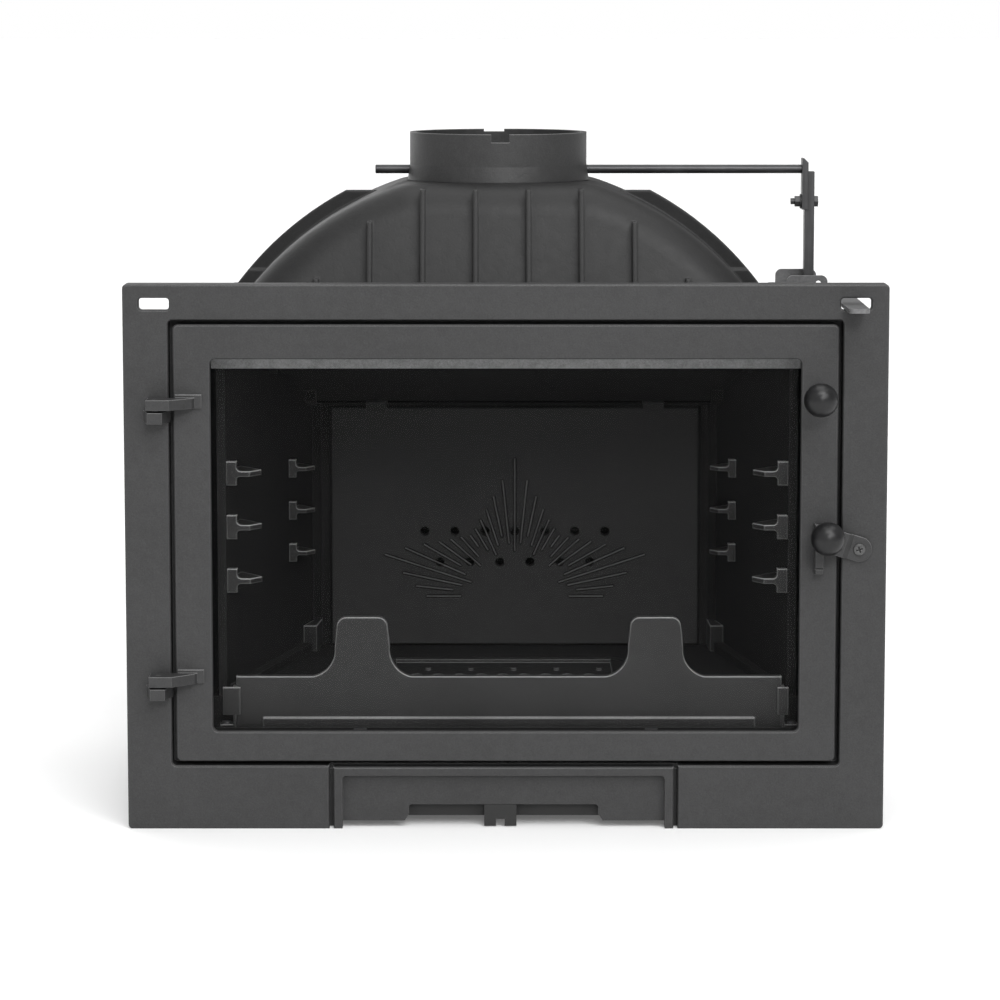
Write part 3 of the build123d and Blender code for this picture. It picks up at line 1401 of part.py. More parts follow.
with BuildPart() as fireback:
    plate(fireback_front, fireback_thick, fireback_x - fireback_width / 2,
          fireback_x + fireback_width / 2, floor_top, fireback_top)
    chamfer(fireback.faces().sort_by(Axis.Y)[0].edges(), fireback_bevel)
    with BuildSketch(facing(fireback_front - 1)):
        with Locations(*air_holes):
            Circle(air_hole_radius)
    extrude(amount=-fireback_thick - 2, mode=Mode.SUBTRACT)
    with BuildSketch(facing(fireback_front - 1)):
        for step in range(sun_rays):
            for side in ((-1, 1) if step < sun_rays - 1 else (1,)):
                angle = 90 * step / (sun_rays - 1)
                inner = sun_inner - sun_inner_wave * cos(radians(90 * (sun_rays - 1 - step)))
                outer = sun_outer(radians(angle))
                if outer - inner < 2 * sun_ray_width:
                    continue
                turn = angle if side > 0 else 180 - angle
                with Locations(Location((fireback_x, sun_z, 0), (0, 0, turn))):
                    with Locations(((inner + outer) / 2, 0)):
                        SlotOverall(outer - inner, sun_ray_width)
    extrude(amount=-sun_groove - 1, mode=Mode.SUBTRACT)
fireback.part.label = "fireback"
export_step(fireback.part, "parts/fireback.step")

with BuildPart() as fireback_clips:
    for side in (-1, 1):
        left = fireback_x + side * fireback_clip_x - fireback_clip_width / 2
        right = left + fireback_clip_width
        near, far = fireback_front - fireback_clip_thick, liner_rear + liner + fireback_clip_thick
        block(left, right, near, far, back_liner_top - fireback_clip_drop,
              back_liner_top + fireback_clip_thick)
        block(left - 1, right + 1, fireback_front, liner_rear + liner,
              back_liner_top - fireback_clip_drop - 1, back_liner_top, mode=Mode.SUBTRACT)
fireback_clips.part.label = "fireback_clips"
export_step(fireback_clips.part, "parts/fireback_clips.step")

box_top = back_liner_top
with BuildPart() as air_channel:
    near, far = liner_rear + liner, liner_rear + liner + air_box_depth
    block(fireback_x - air_box_half, fireback_x + air_box_half, near, far, air_box_base,
          air_box_top)
    block(fireback_x - air_duct_half, fireback_x + air_duct_half, near, far, floor_top,
          air_box_base + 1)
    block(fireback_x - air_box_half + air_box_wall, fireback_x + air_box_half - air_box_wall,
          near - 1, far - air_box_wall, air_box_base + air_box_wall,
          air_box_top - air_box_wall, mode=Mode.SUBTRACT)
    block(fireback_x - air_duct_half + air_box_wall, fireback_x + air_duct_half - air_box_wall,
          near + air_box_wall, far - air_box_wall, floor_top - 1,
          air_box_base + air_box_wall + 1, mode=Mode.SUBTRACT)
air_channel.part.label = "air_channel"
export_step(air_channel.part, "parts/air_channel.step")

post_base = floor_top + corner_block_height
with BuildPart() as corner_blocks:
    for side in (-1, 1):
        near = liner_rear - corner_block_depth
        with BuildSketch(level(floor_top)):
            Polygon(at(firebox_x(near, side), near), at(firebox_x(liner_rear, side), liner_rear),
                    at(firebox_x(liner_rear, side) - side * corner_block_rear_width,
                       liner_rear),
                    at(firebox_x(near, side) - side * corner_block_width, near))
        extrude(amount=corner_block_height)
corner_blocks.part.label = "corner_blocks"
export_step(corner_blocks.part, "parts/corner_blocks.step")

with BuildPart() as corner_posts:
    for side in (-1, 1):
        near = liner_rear - corner_post
        with BuildSketch(level(post_base)):
            Polygon(at(firebox_x(near, side), near), at(firebox_x(liner_rear, side), liner_rear),
                    at(firebox_x(liner_rear, side) - side * corner_post, liner_rear))
        extrude(amount=back_liner_top - post_base)
corner_posts.part.label = "corner_posts"
export_step(corner_posts.part, "parts/corner_posts.step")

with BuildPart() as grill_supports:
    for side in (-1, 1):
        for near, top, pitch, height in zip(support_depths, support_tops, support_pitches,
                                            support_heights):
            size = height / support_heights[0]
            root = firebox_x(near, side)
            shoulder = root - side * support_post * size
            tip = shoulder - side * support_prong * size
            nose = (tip - side * support_nose * size, near + support_nose_back * size)
            tail = near + support_tail * size
            for step in range(support_levels):
                low = top - height - pitch * step
                prong_low = low + support_prong_base * size
                prong_high = prong_low + support_prong_height * size
                with BuildSketch(facing(near)):
                    Polygon((root + side * 6, low), (shoulder, low), (shoulder, prong_low),
                            (tip, prong_low), (tip, prong_high), (shoulder, prong_high),
                            (shoulder, low + height), (root + side * 6, low + height))
                    for corner_z in (prong_low, prong_high):
                        fillet(vertices().sort_by_distance((shoulder, corner_z, 0))[0],
                               support_round * size)
                extrude(amount=-support_thick)
                with BuildSketch(level(prong_low)):
                    Polygon(at(root + side * 6, near), at(tip, near), at(*nose),
                            at(firebox_x(tail, side), tail),
                            at(firebox_x(tail, side) + side * 6, tail))
                extrude(amount=support_prong_height * size)
        with BuildSketch(level(floor_top)):
            near, far = firebox_x(liner_front, side), firebox_x(liner_rear, side)
            Polygon(at(near, liner_front), at(far, liner_rear),
                    at(far + side * 4 * liner, liner_rear), at(near + side * 4 * liner,
                    liner_front))
        extrude(amount=liner_top - floor_top, mode=Mode.SUBTRACT)
grill_supports.part.label = "grill_supports"
export_step(grill_supports.part, "parts/grill_supports.step")

baffle_rear = liner_rear + liner - 2
baffle_rear_base = back_liner_top + fireback_clip_thick
baffle_slope = (baffle_front_base - baffle_rear_base) / (baffle_rear - baffle_front)


def baffle_under(depth):
    """Height of the smoke baffle's underside at a depth."""
    return baffle_rear_base + baffle_slope * (baffle_rear - depth)


with BuildPart() as smoke_baffle:
    with BuildSketch(side_on(0)):
        Polygon((front_y + baffle_front, baffle_under(baffle_front)),
                (front_y + baffle_rear, baffle_under(baffle_rear)),
                (front_y + baffle_rear, baffle_under(baffle_rear) + baffle_thick),
                (front_y + baffle_front, baffle_under(baffle_front) + baffle_thick))
    extrude(amount=frame_width / 2, both=True)
    with BuildSketch(level(floor_top)):
        edges_at = [(depth, firebox_x(depth, -1) + baffle_play, firebox_x(depth, 1) - baffle_play)
                    for depth in (baffle_front, baffle_rear)]
        (near, near_left, near_right), (far, far_left, far_right) = edges_at
        Polygon(at(near_left, near), at(near_right, near), at(far_right, far), at(far_left, far))
    extrude(amount=liner_top, mode=Mode.INTERSECT)
smoke_baffle.part.label = "smoke_baffle"
export_step(smoke_baffle.part, "parts/smoke_baffle.step")

with BuildPart() as baffle_cleats:
    for side in (-1, 1):
        for near in cleat_depths:
            far = near + cleat_length
            with BuildSketch(side_on(firebox_x(near, side) - side * cleat_width)):
                Polygon((front_y + near, baffle_under(near) - cleat_height),
                        (front_y + far, baffle_under(far) - cleat_height),
                        (front_y + far, baffle_under(far)), (front_y + near, baffle_under(near)))
            extrude(amount=side * 2 * cleat_width)
        with BuildSketch(level(floor_top)):
            near, far = firebox_x(liner_front, side), firebox_x(liner_rear, side)
            Polygon(at(near, liner_front), at(far, liner_rear),
                    at(far + side * 4 * liner, liner_rear),
                    at(near + side * 4 * liner, liner_front))
        extrude(amount=liner_top - floor_top, mode=Mode.SUBTRACT)
baffle_cleats.part.label = "baffle_cleats"
export_step(baffle_cleats.part, "parts/baffle_cleats.step")

deflector_half = firebox_x(deflector_back, 1) - deflector_play
with BuildPart() as air_deflector:
    with BuildSketch(side_on(0)):
        Polygon((front_y + deflector_lip, deflector_lip_base),
                (front_y + deflector_lip + deflector_sheet, deflector_lip_base),
                (front_y + deflector_back, deflector_bend),
                (front_y + deflector_back, deflector_top),
                (front_y + deflector_back - deflector_sheet, deflector_top),
                (front_y + deflector_back - deflector_sheet, deflector_bend + 1))
    extrude(amount=deflector_half, both=True)
    plate(deflector_lip, deflector_sheet, deflector_lip_side - mouth_half,
          mouth_half - deflector_lip_side, deflector_lip_base,
          deflector_lip_base + deflector_lip_height)
    for side in (-1, 1):
        foot_x = side * deflector_foot_x
        block(foot_x - deflector_foot / 2, foot_x + deflector_foot / 2, ring_back,
              deflector_back - deflector_sheet, deflector_top - deflector_foot, deflector_top)
air_deflector.part.label = "air_deflector"
export_step(air_deflector.part, "parts/air_deflector.step")

# ================================================================ log retainer
with BuildPart() as log_retainer:
    with BuildSketch(facing(retainer_front)):
        span(retainer_x - retainer_half, retainer_x + retainer_half, sill_top, retainer_top)
        for side in (-1, 1):
            hump_x = retainer_x + side * retainer_hump_x
            foot_half = retainer_hump_half + retainer_hump_taper
            flare = foot_half + retainer_hump_flare
            with BuildLine():
                Polyline((hump_x - flare, retainer_top), (hump_x - flare, retainer_top - 5),
                         (hump_x + flare, retainer_top - 5), (hump_x + flare, retainer_top))
                RadiusArc((hump_x + flare, retainer_top),
                          (hump_x + foot_half, retainer_top + 1.35 * retainer_hump_flare),
                          1.25 * retainer_hump_flare)
                Polyline((hump_x + foot_half, retainer_top + 1.35 * retainer_hump_flare),
                         (hump_x + retainer_hump_half, retainer_hump_top),
                         (hump_x - retainer_hump_half, retainer_hump_top),
                         (hump_x - foot_half, retainer_top + 1.35 * retainer_hump_flare))
                RadiusArc((hump_x - foot_half, retainer_top + 1.35 * retainer_hump_flare),
                          (hump_x - flare, retainer_top), 1.25 * retainer_hump_flare)
            make_face()
        fillet(vertices().group_by(Axis.Y)[-1], retainer_hump_corner)
    extrude(amount=-retainer_thick)
    plate(retainer_front - retainer_foot, retainer_foot, retainer_x - retainer_foot_half,
          retainer_x + retainer_foot_half, sill_top, sill_top + retainer_foot_height)
log_retainer.part.label = "log_retainer"
export_step(log_retainer.part, "parts/log_retainer.step")

slot_rear = retainer_front + retainer_thick
bracket_outer = mouth_half - bracket_side_gap
bracket_foot_out = retainer_half + bracket_screw_out + bracket_head_radius + bracket_foot_edge
with BuildPart() as retainer_brackets:
    for side in (-1, 1):
        end_x = retainer_x + side * (retainer_half + clear)
        lap_x = end_x - side * bracket_inner_lap
        web_x = end_x + side * bracket_back
        out_x = side * bracket_outer
        block(*sorted((lap_x, out_x)), retainer_front - bracket_front, retainer_front - clear / 2,
              sill_top + bracket_base_gap, bracket_top)
        block(*sorted((end_x, web_x)), retainer_front - bracket_front,
              slot_rear + clear + bracket_back, sill_top, bracket_top)
        block(*sorted((lap_x, web_x)), slot_rear + clear, slot_rear + clear + bracket_back,
              sill_top, bracket_top)
        foot_x = retainer_x + side * bracket_foot_out
        block(*sorted((end_x, foot_x)), retainer_front, slot_rear + clear + bracket_back,
              sill_top, sill_top + bracket_back)
        rod_up(retainer_x + side * (retainer_half + bracket_screw_out), retainer_front + 6,
               bracket_screw_radius, sill_top - 1, sill_top + bracket_back + 1,
               mode=Mode.SUBTRACT)
retainer_brackets.part.label = "retainer_brackets"
export_step(retainer_brackets.part, "parts/retainer_brackets.step")

with BuildPart() as bracket_screws:
    for side in (-1, 1):
        screw_x = retainer_x + side * (retainer_half + bracket_screw_out)
        rod_up(screw_x, retainer_front + 6, bracket_screw_radius, sill_top - sill_plate,
               sill_top + bracket_back)
        rod_up(screw_x, retainer_front + 6, bracket_head_radius, sill_top + bracket_back,
               sill_top + bracket_back + bracket_head)
bracket_screws.part.label = "bracket_screws"
export_step(bracket_screws.part, "parts/bracket_screws.step")

# ================================================================ collar screws
head_seat = sqrt(collar_bore ** 2 - collar_screw_head ** 2)
with BuildPart() as collar_screws:
    for quarter in range(4):
        turn = radians(45 + 90 * quarter)
        outward = Plane(origin=(flue_x, front_y + flue_depth, collar_screw_z),
                        z_dir=(cos(turn), sin(turn), 0))
        with BuildSketch(outward.offset(head_seat)):
            Circle(collar_screw_radius)
        extrude(amount=neck_radius - head_seat - 2)
        with BuildSketch(outward.offset(head_seat)):
            Circle(collar_screw_head)
        extrude(amount=-collar_screw_head_thick)
collar_screws.part.label = "collar_screws"
export_step(collar_screws.part, "parts/collar_screws.step")
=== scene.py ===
import math

import bpy
import numpy as np
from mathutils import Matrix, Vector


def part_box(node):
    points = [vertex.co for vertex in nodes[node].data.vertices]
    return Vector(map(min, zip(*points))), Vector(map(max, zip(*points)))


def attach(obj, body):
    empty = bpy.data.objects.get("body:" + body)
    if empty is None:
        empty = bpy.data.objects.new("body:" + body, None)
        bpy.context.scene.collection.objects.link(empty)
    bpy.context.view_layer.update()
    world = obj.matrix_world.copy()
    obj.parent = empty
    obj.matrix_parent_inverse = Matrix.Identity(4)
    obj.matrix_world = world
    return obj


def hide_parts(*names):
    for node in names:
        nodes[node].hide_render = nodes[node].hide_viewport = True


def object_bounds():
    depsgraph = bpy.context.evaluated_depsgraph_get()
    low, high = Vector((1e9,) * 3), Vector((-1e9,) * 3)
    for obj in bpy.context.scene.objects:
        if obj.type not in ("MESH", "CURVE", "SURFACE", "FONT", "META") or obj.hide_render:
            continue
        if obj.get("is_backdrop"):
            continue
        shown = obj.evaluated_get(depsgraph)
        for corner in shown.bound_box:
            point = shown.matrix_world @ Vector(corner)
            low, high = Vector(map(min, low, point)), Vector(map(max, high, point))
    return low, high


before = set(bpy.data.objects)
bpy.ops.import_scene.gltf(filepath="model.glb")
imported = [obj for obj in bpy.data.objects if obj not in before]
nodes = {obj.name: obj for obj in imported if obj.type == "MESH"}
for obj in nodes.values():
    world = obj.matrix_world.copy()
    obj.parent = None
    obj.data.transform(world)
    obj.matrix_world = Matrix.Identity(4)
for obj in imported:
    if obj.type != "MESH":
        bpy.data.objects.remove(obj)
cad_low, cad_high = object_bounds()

scene = bpy.context.scene
MM = 0.001


# ---------------------------------------------------------------- shader maths
class Shade:
    """Socket of a shader tree. Arithmetic on values adds its Math nodes."""

    def __init__(self, tree, socket):
        self.tree, self.socket = tree, socket

    def node(self, kind, settings, inputs, output=0):
        """Node of a type: its settings first, then the values or links of its sockets."""
        made = self.tree.nodes.new("ShaderNode" + kind)
        for name, value in settings.items():
            setattr(made, name, value)
        for key, value in inputs.items():
            if isinstance(value, Shade):
                self.tree.links.new(value.socket, made.inputs[key])
            else:
                made.inputs[key].default_value = value
        return Shade(self.tree, made.outputs[output])

    def maths(self, operation, *values):
        return self.node("Math", {"operation": operation}, dict(enumerate(values)))

    def __add__(self, other):
        return self.maths("ADD", self, other)

    __radd__ = __add__

    def __sub__(self, other):
        return self.maths("SUBTRACT", self, other)

    def __rsub__(self, other):
        return self.maths("SUBTRACT", other, self)

    def __mul__(self, other):
        return self.maths("MULTIPLY", self, other)

    __rmul__ = __mul__

    def between(self, low, high):
        """0 below low, 1 above high, eased in between."""
        return self.node("MapRange", {"interpolation_type": "SMOOTHSTEP"},
                         {"Value": self, "From Min": low, "From Max": high})

    def colour(self, first, second):
        """Colour mixed from the first at 0 to the second at 1, each a link or three numbers."""
        first, second = (end if isinstance(end, Shade) else (*end, 1) for end in (first, second))
        return self.node("Mix", {"data_type": "RGBA"}, {0: self, 6: first, 7: second}, 2)

    def along(self, axis):
        """One axis of this place or direction."""
        return self.node("SeparateXYZ", {}, {"Vector": self}, axis)

    def noise(self, scale, detail=2, roughness=0.5):
        """Noise about 0.5 on this place, scale cells to the metre."""
        return self.node("TexNoise", {}, {"Vector": self, "Scale": scale, "Detail": detail,
                                          "Roughness": roughness})

    def stretched(self, across, deep, up):
        """This place with its three axes scaled, for a grain that runs one way."""
        return self.node("Mapping", {}, {"Vector": self, "Scale": (across, deep, up)})


def toned(tone, share, lift=0.0):
    """A colour times a share, lifted a little towards white."""
    return tuple(part * share + lift for part in tone)


def surface(name, recipe, **fixed):
    """Material whose principled shader takes constants, and what the recipe makes of the place."""
    material = bpy.data.materials.new(name)
    material.use_nodes = True
    tree = material.node_tree
    shader = tree.nodes["Principled BSDF"]
    for key, value in fixed.items():
        shader.inputs[key.replace("_", " ")].default_value = value
    coordinates = tree.nodes.new("ShaderNodeTexCoord")
    for key, value in recipe(Shade(tree, coordinates.outputs["Object"])).items():
        tree.links.new(value.socket, shader.inputs[key])
    return material


def rounding(place, edge):
    """Normal whose edges look rounded by a radius, and how far it turns from the flat normal
    there: 0 on a face, towards 1 on an edge."""
    soft = place.node("Bevel", {"samples": 6}, {"Radius": edge})
    flat = place.node("NewGeometry", {}, {}, "Normal")
    same = place.node("VectorMath", {"operation": "DOT_PRODUCT"}, {0: soft, 1: flat}, "Value")
    return soft, (1 - same).between(0.006, 0.12)


def relief(place, height, distance, edge=0.0006):
    """Normal of a bump whose height of 1 stands that many metres proud, over rounded edges."""
    return place.node("Bump", {}, {"Height": height, "Distance": distance,
                                   "Normal": rounding(place, edge)[0]})


# near-black painted shade for grooves, holes and slots
RECESS_SHADE = (0.003, 0.003, 0.003)
# tone of a darker band: painted shadow on the fireback's upper part, darker towards the bottom on
# the retainer
DARKER_BAND_TONE = (0.004, 0.004, 0.004)


def casting(tone, sand, depth, rough, dust=0.0, edge=0.0012, wear_and_highlight=0.5, highlight_grey=0.42, shade_depths=None,
            darker_band=None):
    """Recipe of a painted casting: slow and fast mottling of one tone, the pitted skin that the
    mould's sand leaves, edges painted a paler grey where they look up, a painted highlight for
    light from above with a little wear on every edge, painted shade near-black in grooves and
    slots, growing from the first depth in Y to the second, and a darker band that grows from
    the first height to the second."""
    def recipe(place):
        soft, edge_highlight = rounding(place, edge)
        # painted highlight: edges are painted paler, most where they face up, standing in for
        # light from above; the part left on every edge is wear
        edge_highlight = edge_highlight * (soft.along("Z").between(-0.1, 0.6) * 0.8 + 0.2)
        cloud = place.noise(7, 3, 0.6)
        mottle = place.noise(95, 4, 0.62)
        grain = place.noise(sand, 3, 0.7)
        pits = place.noise(sand * 0.37, 2, 0.5).between(0.34, 0.5)
        speckle = place.noise(sand * 1.6, 2, 0.8)
        shade = (cloud * 0.2 + mottle * 0.25 + grain * 0.25 + speckle * 0.3).between(0.34, 0.66)
        colour = shade.colour(toned(tone, 0.68), toned(tone, 1.36, 0.004 * dust))
        # painted highlight and wear: the colour goes towards the paler grey along the edges
        colour = (edge_highlight * wear_and_highlight).colour(colour, (highlight_grey, highlight_grey, highlight_grey))
        # painted shade: what lies deeper than the face in Y, grooves, holes and slots, is painted
        # near-black
        if shade_depths:
            colour = place.along("Y").between(*shade_depths).colour(colour, RECESS_SHADE)
        # a darker band that grows from the first height to the second, its edge mottled by the
        # clouds
        if darker_band:
            height = place.along("Z") + (cloud - 0.5) * 0.12
            colour = (height.between(*darker_band) * 0.7).colour(colour, DARKER_BAND_TONE)
        return {"Base Color": colour,
                "Roughness": rough + (mottle - 0.5) * 0.2 + (cloud - 0.5) * 0.14,
                "Normal": relief(place, grain * 0.6 + pits * 0.4 + mottle * 0.25, depth, edge)}
    return recipe


def rolled(tone, rough, along=(1, 1, 1), metal=0.0, scale=260, depth=0.00006):
    """Recipe of drawn or rolled steel: a grain that runs along the piece in tone, roughness and
    fine relief, over slow stains."""
    def recipe(place):
        grain = place.stretched(*along).noise(scale, 4, 0.65)
        stain = place.noise(24, 3, 0.6)
        shade = (grain * 0.55 + stain * 0.45).between(0.3, 0.72)
        made = {"Base Color": shade.colour(toned(tone, 0.7), toned(tone, 1.3)),
                "Roughness": rough + (grain - 0.5) * 0.3 + (stain - 0.5) * 0.18,
                "Normal": relief(place, grain, depth)}
        if metal:
            made["Metallic"] = metal - stain.between(0.55, 0.8) * 0.35
        return made
    return recipe


def polished(tone, rough):
    """Recipe of a turned and polished ball: fine rings and handling smears in the roughness."""
    def recipe(place):
        rings = place.stretched(0.05, 1, 0.05).noise(900, 2, 0.5)
        smear = place.noise(55, 3, 0.6)
        return {"Base Color": smear.between(0.3, 0.7).colour(toned(tone, 0.85), toned(tone, 1.15)),
                "Roughness": rough + (smear - 0.5) * 0.14 + (rings - 0.5) * 0.06,
                "Normal": relief(place, rings * 0.6 + smear * 0.2, 0.00001)}
    return recipe


def fibre(tone, scale, depth):
    """Recipe of glass-fibre braid and felt: fine threads, darker where soot gathers in clouds."""
    def recipe(place):
        threads = place.noise(scale, 4, 0.7)
        soot = place.noise(26, 3, 0.6)
        shade = (threads * 0.6 + soot * 0.4).between(0.3, 0.7)
        return {"Base Color": shade.colour(toned(tone, 0.55), tone),
                "Roughness": 0.86 + (threads - 0.5) * 0.2,
                "Normal": relief(place, threads, depth)}
    return recipe


def pane(place):
    """Recipe of the fire glass: nearly clear, with a haze of soot in slow clouds and specks that
    dull its polish."""
    haze = place.noise(5, 4, 0.6)
    speck = place.noise(420, 3, 0.6)
    return {"Base Color": haze.between(0.3, 0.7).colour((0.002, 0.002, 0.002),
                                                         (0.006, 0.006, 0.006)),
            "Alpha": 0.155 + (haze - 0.5) * 0.06,
            "Roughness": 0.05 + speck.between(0.55, 0.75) * 0.04}


PAINT = (0.0242, 0.0242, 0.0247)
# painted shade: body and collar are one paint; the body's copy is darkened to offset the light its
# tilted dome catches from above, the collar keeps a lighter copy
BODY_SHADED = (0.009, 0.009, 0.0092)
COLLAR = (0.021, 0.021, 0.0213)
HEARTH = (0.012, 0.012, 0.012)
FIREBACK = (0.045, 0.045, 0.045)
RETAINER = (0.034, 0.034, 0.034)
SUPPORT = (0.022, 0.022, 0.022)
SUN = (0.17, 0.17, 0.17)
# painted light: a pale tone for the deflector's band
DEFLECTOR_LIT = (0.37, 0.37, 0.373)
SHEET = (0.05, 0.05, 0.051)
SCREW = (0.05, 0.05, 0.052)
SCREW_HEAD = (0.06, 0.06, 0.06)
PULL = (0.13, 0.13, 0.132)
ROD = (0.045, 0.045, 0.047)
BAR = (0.06, 0.06, 0.062)
ZINC = (0.3, 0.3, 0.31)
KNOB = (0.01, 0.01, 0.0105)
# near-black sheet: painted shade for pieces that lie in shade
SOOT_AND_SHADE_TONE = (0.012, 0.012, 0.012)
BRAID = (0.3, 0.29, 0.27)
FELT = (0.16, 0.16, 0.15)

fireback_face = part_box("fireback")[0][1]
keeper_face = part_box("keeper_screw")[0][1]

finishes = {
    # in the castings below, the last arguments set how strongly edges are painted paler as a
    # highlight where they look up, and the grey they go to
    "frame_paint": (casting(PAINT, 620, 0.00016, 0.6, 1), {}),
    "body_paint_shaded": (casting(BODY_SHADED, 560, 0.0001, 0.54, 0.5, 0.0035, 0.08),
                   {"Specular_IOR_Level": 0.36}),
    "collar_paint": (casting(COLLAR, 560, 0.00012, 0.5, 1, 0.0012, 0.4), {}),
    # painted shade: the air slider and ash drawer behind the drawer panel's notch are near-black
    # for the shade they lie in; the fireback clips share this sheet
    "soot_and_shade_sheet": (rolled(SOOT_AND_SHADE_TONE, 0.6, depth=0.00003), {}),
    "hearth_iron": (casting(HEARTH, 420, 0.00006, 0.7, wear_and_highlight=0.1), {"Specular_IOR_Level": 0.3}),
    # retainer: a strong painted highlight on its up-facing edges, and darker towards the bottom
    "retainer_iron": (casting(RETAINER, 420, 0.00008, 0.5, 0, 0.0026, 0.95, 0.8,
                              darker_band=(0.165, 0.045)), {}),
    # supports: a strong painted highlight on their up-facing edges
    "support_iron": (casting(SUPPORT, 420, 0.0001, 0.45, 0, 0.0022, 0.95, 0.9), {}),
    "grate_iron": (casting(HEARTH, 420, 0.00012, 0.6, 0, 0.0014, 0.9), {}),
    # fireback: painted shade in its grooves and holes, and a painted shadow darkening its upper
    # part
    "fireback_iron": (casting(FIREBACK, 420, 0.00006, 0.6, wear_and_highlight=0.1,
                              shade_depths=(fireback_face + 0.0002, fireback_face + 0.0009),
                              darker_band=(0.13, 0.33)), {}),
    "bar_paint": (casting(SUN, 420, 0.00005, 0.55), {}),
    # painted light: the deflector's pale tone stands in for the light its band catches just behind
    # the glass
    "deflector_paint_lit": (casting(DEFLECTOR_LIT, 520, 0.00005, 0.5, wear_and_highlight=0.1), {}),
    # keeper screw: painted shade in its slot
    "slotted_head": (casting(SCREW_HEAD, 420, 0.00005, 0.4, wear_and_highlight=0.3,
                             shade_depths=(keeper_face + 0.0009, keeper_face + 0.0012)), {}),
    "dark_screw": (rolled(SCREW, 0.45, (1, 1, 1), 0.3, 500), {}),
    "sheet_paint": (rolled(SHEET, 0.5, depth=0.00004), {}),
    "pull_steel": (rolled(PULL, 0.42, (1, 0.05, 1), 0.3, 500, 0.00004), {}),
    "rod_steel": (rolled(ROD, 0.34, (0.03, 1, 1), 0.6), {}),
    "bar_steel": (rolled(BAR, 0.42, (1, 1, 0.06), 0.4), {}),
    "zinc": (rolled(ZINC, 0.38, (1, 1, 1), 0.85, 500), {}),
    "knob_paint": (polished(KNOB, 0.34), {"Specular_IOR_Level": 0.36}),
    "braid": (fibre(BRAID, 700, 0.0004), {"Sheen_Weight": 0.3}),
    "felt": (fibre(FELT, 900, 0.0003), {"Sheen_Weight": 0.3}),
    "fire_glass": (pane, {"IOR": 1.5, "Specular_IOR_Level": 0.15}),
}
finishes = {name: surface(name, recipe, **fixed) for name, (recipe, fixed) in finishes.items()}

worn_by = {
    "frame_paint": "front_frame door_frame drawer_front latch_lever keeper_plate",
    "body_paint_shaded": "dome base_casting left_side_wall right_side_wall back_wall",
    "collar_paint": "flue_collar",
    "grate_iron": "fire_grate",
    "hearth_iron": "hearth_floor back_liner left_liner right_liner "
                   "corner_posts smoke_baffle baffle_cleats air_channel",
    "fireback_iron": "fireback",
    "retainer_iron": "log_retainer retainer_brackets",
    "support_iron": "corner_blocks grill_supports",
    "deflector_paint_lit": "air_deflector",
    "slotted_head": "keeper_screw",
    "dark_screw": "link_bolt link_nut hinge_pins latch_knob_stud door_knob_stud "
                  "glass_clips clip_screws",
    "sheet_paint": "pull_guide",
    "pull_steel": "damper_pull",
    "soot_and_shade_sheet": "air_slider ash_drawer fireback_clips",
    "rod_steel": "damper_rod damper_disc",
    "bar_steel": "damper_crank link_bar damper_saddles",
    "zinc": "frame_bolts tie_rods tie_rod_nuts collar_screws saddle_screws guide_screw "
            "drawer_screws slider_screws bracket_screws latch_pivot latch_clip",
    "knob_paint": "door_knob latch_knob",
    "braid": "door_rope",
    "felt": "glass_seal",
    "fire_glass": "door_glass",
}
for finish, wearers in worn_by.items():
    for wearer in wearers.split():
        mesh = nodes[wearer].data
        mesh.materials.clear()
        mesh.materials.append(finishes[finish])


# ---------------------------------------------------------------- surfaces from arrays
def placed(name, points, faces, finish, body, replaced=(), smooth=True):
    """Piece of points in metres and faces of four, with its finish and body."""
    mesh = bpy.data.meshes.new(name)
    mesh.from_pydata(points.reshape(-1, 3).tolist(), [], faces.reshape(-1, 4).tolist())
    if smooth:
        mesh.shade_smooth()
    mesh.materials.append(finishes[finish])
    piece = bpy.data.objects.new(name, mesh)
    scene.collection.objects.link(piece)
    if replaced:
        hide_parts(*replaced)
    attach(piece, body)


def grid_piece(name, points, finish, body, replaced=(), closed=(False, True)):
    """Piece from a grid of points (rows, columns, 3) in metres: each cell is a face, and a
    direction that closes joins its last line to its first."""
    rows, columns = points.shape[:2]
    down = np.arange(rows if closed[0] else rows - 1)[:, None]
    over = np.arange(columns if closed[1] else columns - 1)[None, :]
    next_down, next_over = (down + 1) % rows, (over + 1) % columns
    faces = np.stack([down * columns + over, next_down * columns + over,
                      next_down * columns + next_over, down * columns + next_over], -1)
    placed(name, points, faces, finish, body, replaced)


def softened(wave, power):
    """A wave raised to a power with its sign kept: below 1 it flattens a circle into a square
    with round corners."""
    return np.sign(wave) * np.abs(wave) ** power


def ring_path(low, high, inset, corner, count):
    """Rounded rectangle in X and Z, inset from two opposite corners: its points, evenly spaced
    along its length, and its outward directions."""
    half = (np.array(high) - np.array(low)) / 2 - inset
    middle = (np.array(high) + np.array(low)) / 2
    straight = half - corner
    arc = np.pi / 2 * corner
    runs = np.array([2 * straight[1], arc, 2 * straight[0], arc] * 2)
    ends = np.concatenate([[0], np.cumsum(runs)])
    along = np.arange(count) * ends[-1] / count
    leg = np.clip(np.searchsorted(ends, along, side="right") - 1, 0, 7)
    share = (along - ends[leg]) / runs[leg]
    quarter = (leg + 1) // 2
    turn = np.where(leg % 2, leg // 2 + share, quarter) * np.pi / 2
    signs = np.array([[1, -1], [1, 1], [-1, 1], [-1, -1], [1, -1]])
    spot = np.where((leg % 2 == 0)[:, None],
                    signs[leg // 2] * (1 - share[:, None])
                    + signs[np.minimum(leg // 2 + 1, 4)] * share[:, None],
                    signs[np.minimum(quarter, 4)])
    outward = np.stack([np.cos(turn), np.sin(turn)], -1)
    return middle + spot * straight + outward * corner, outward


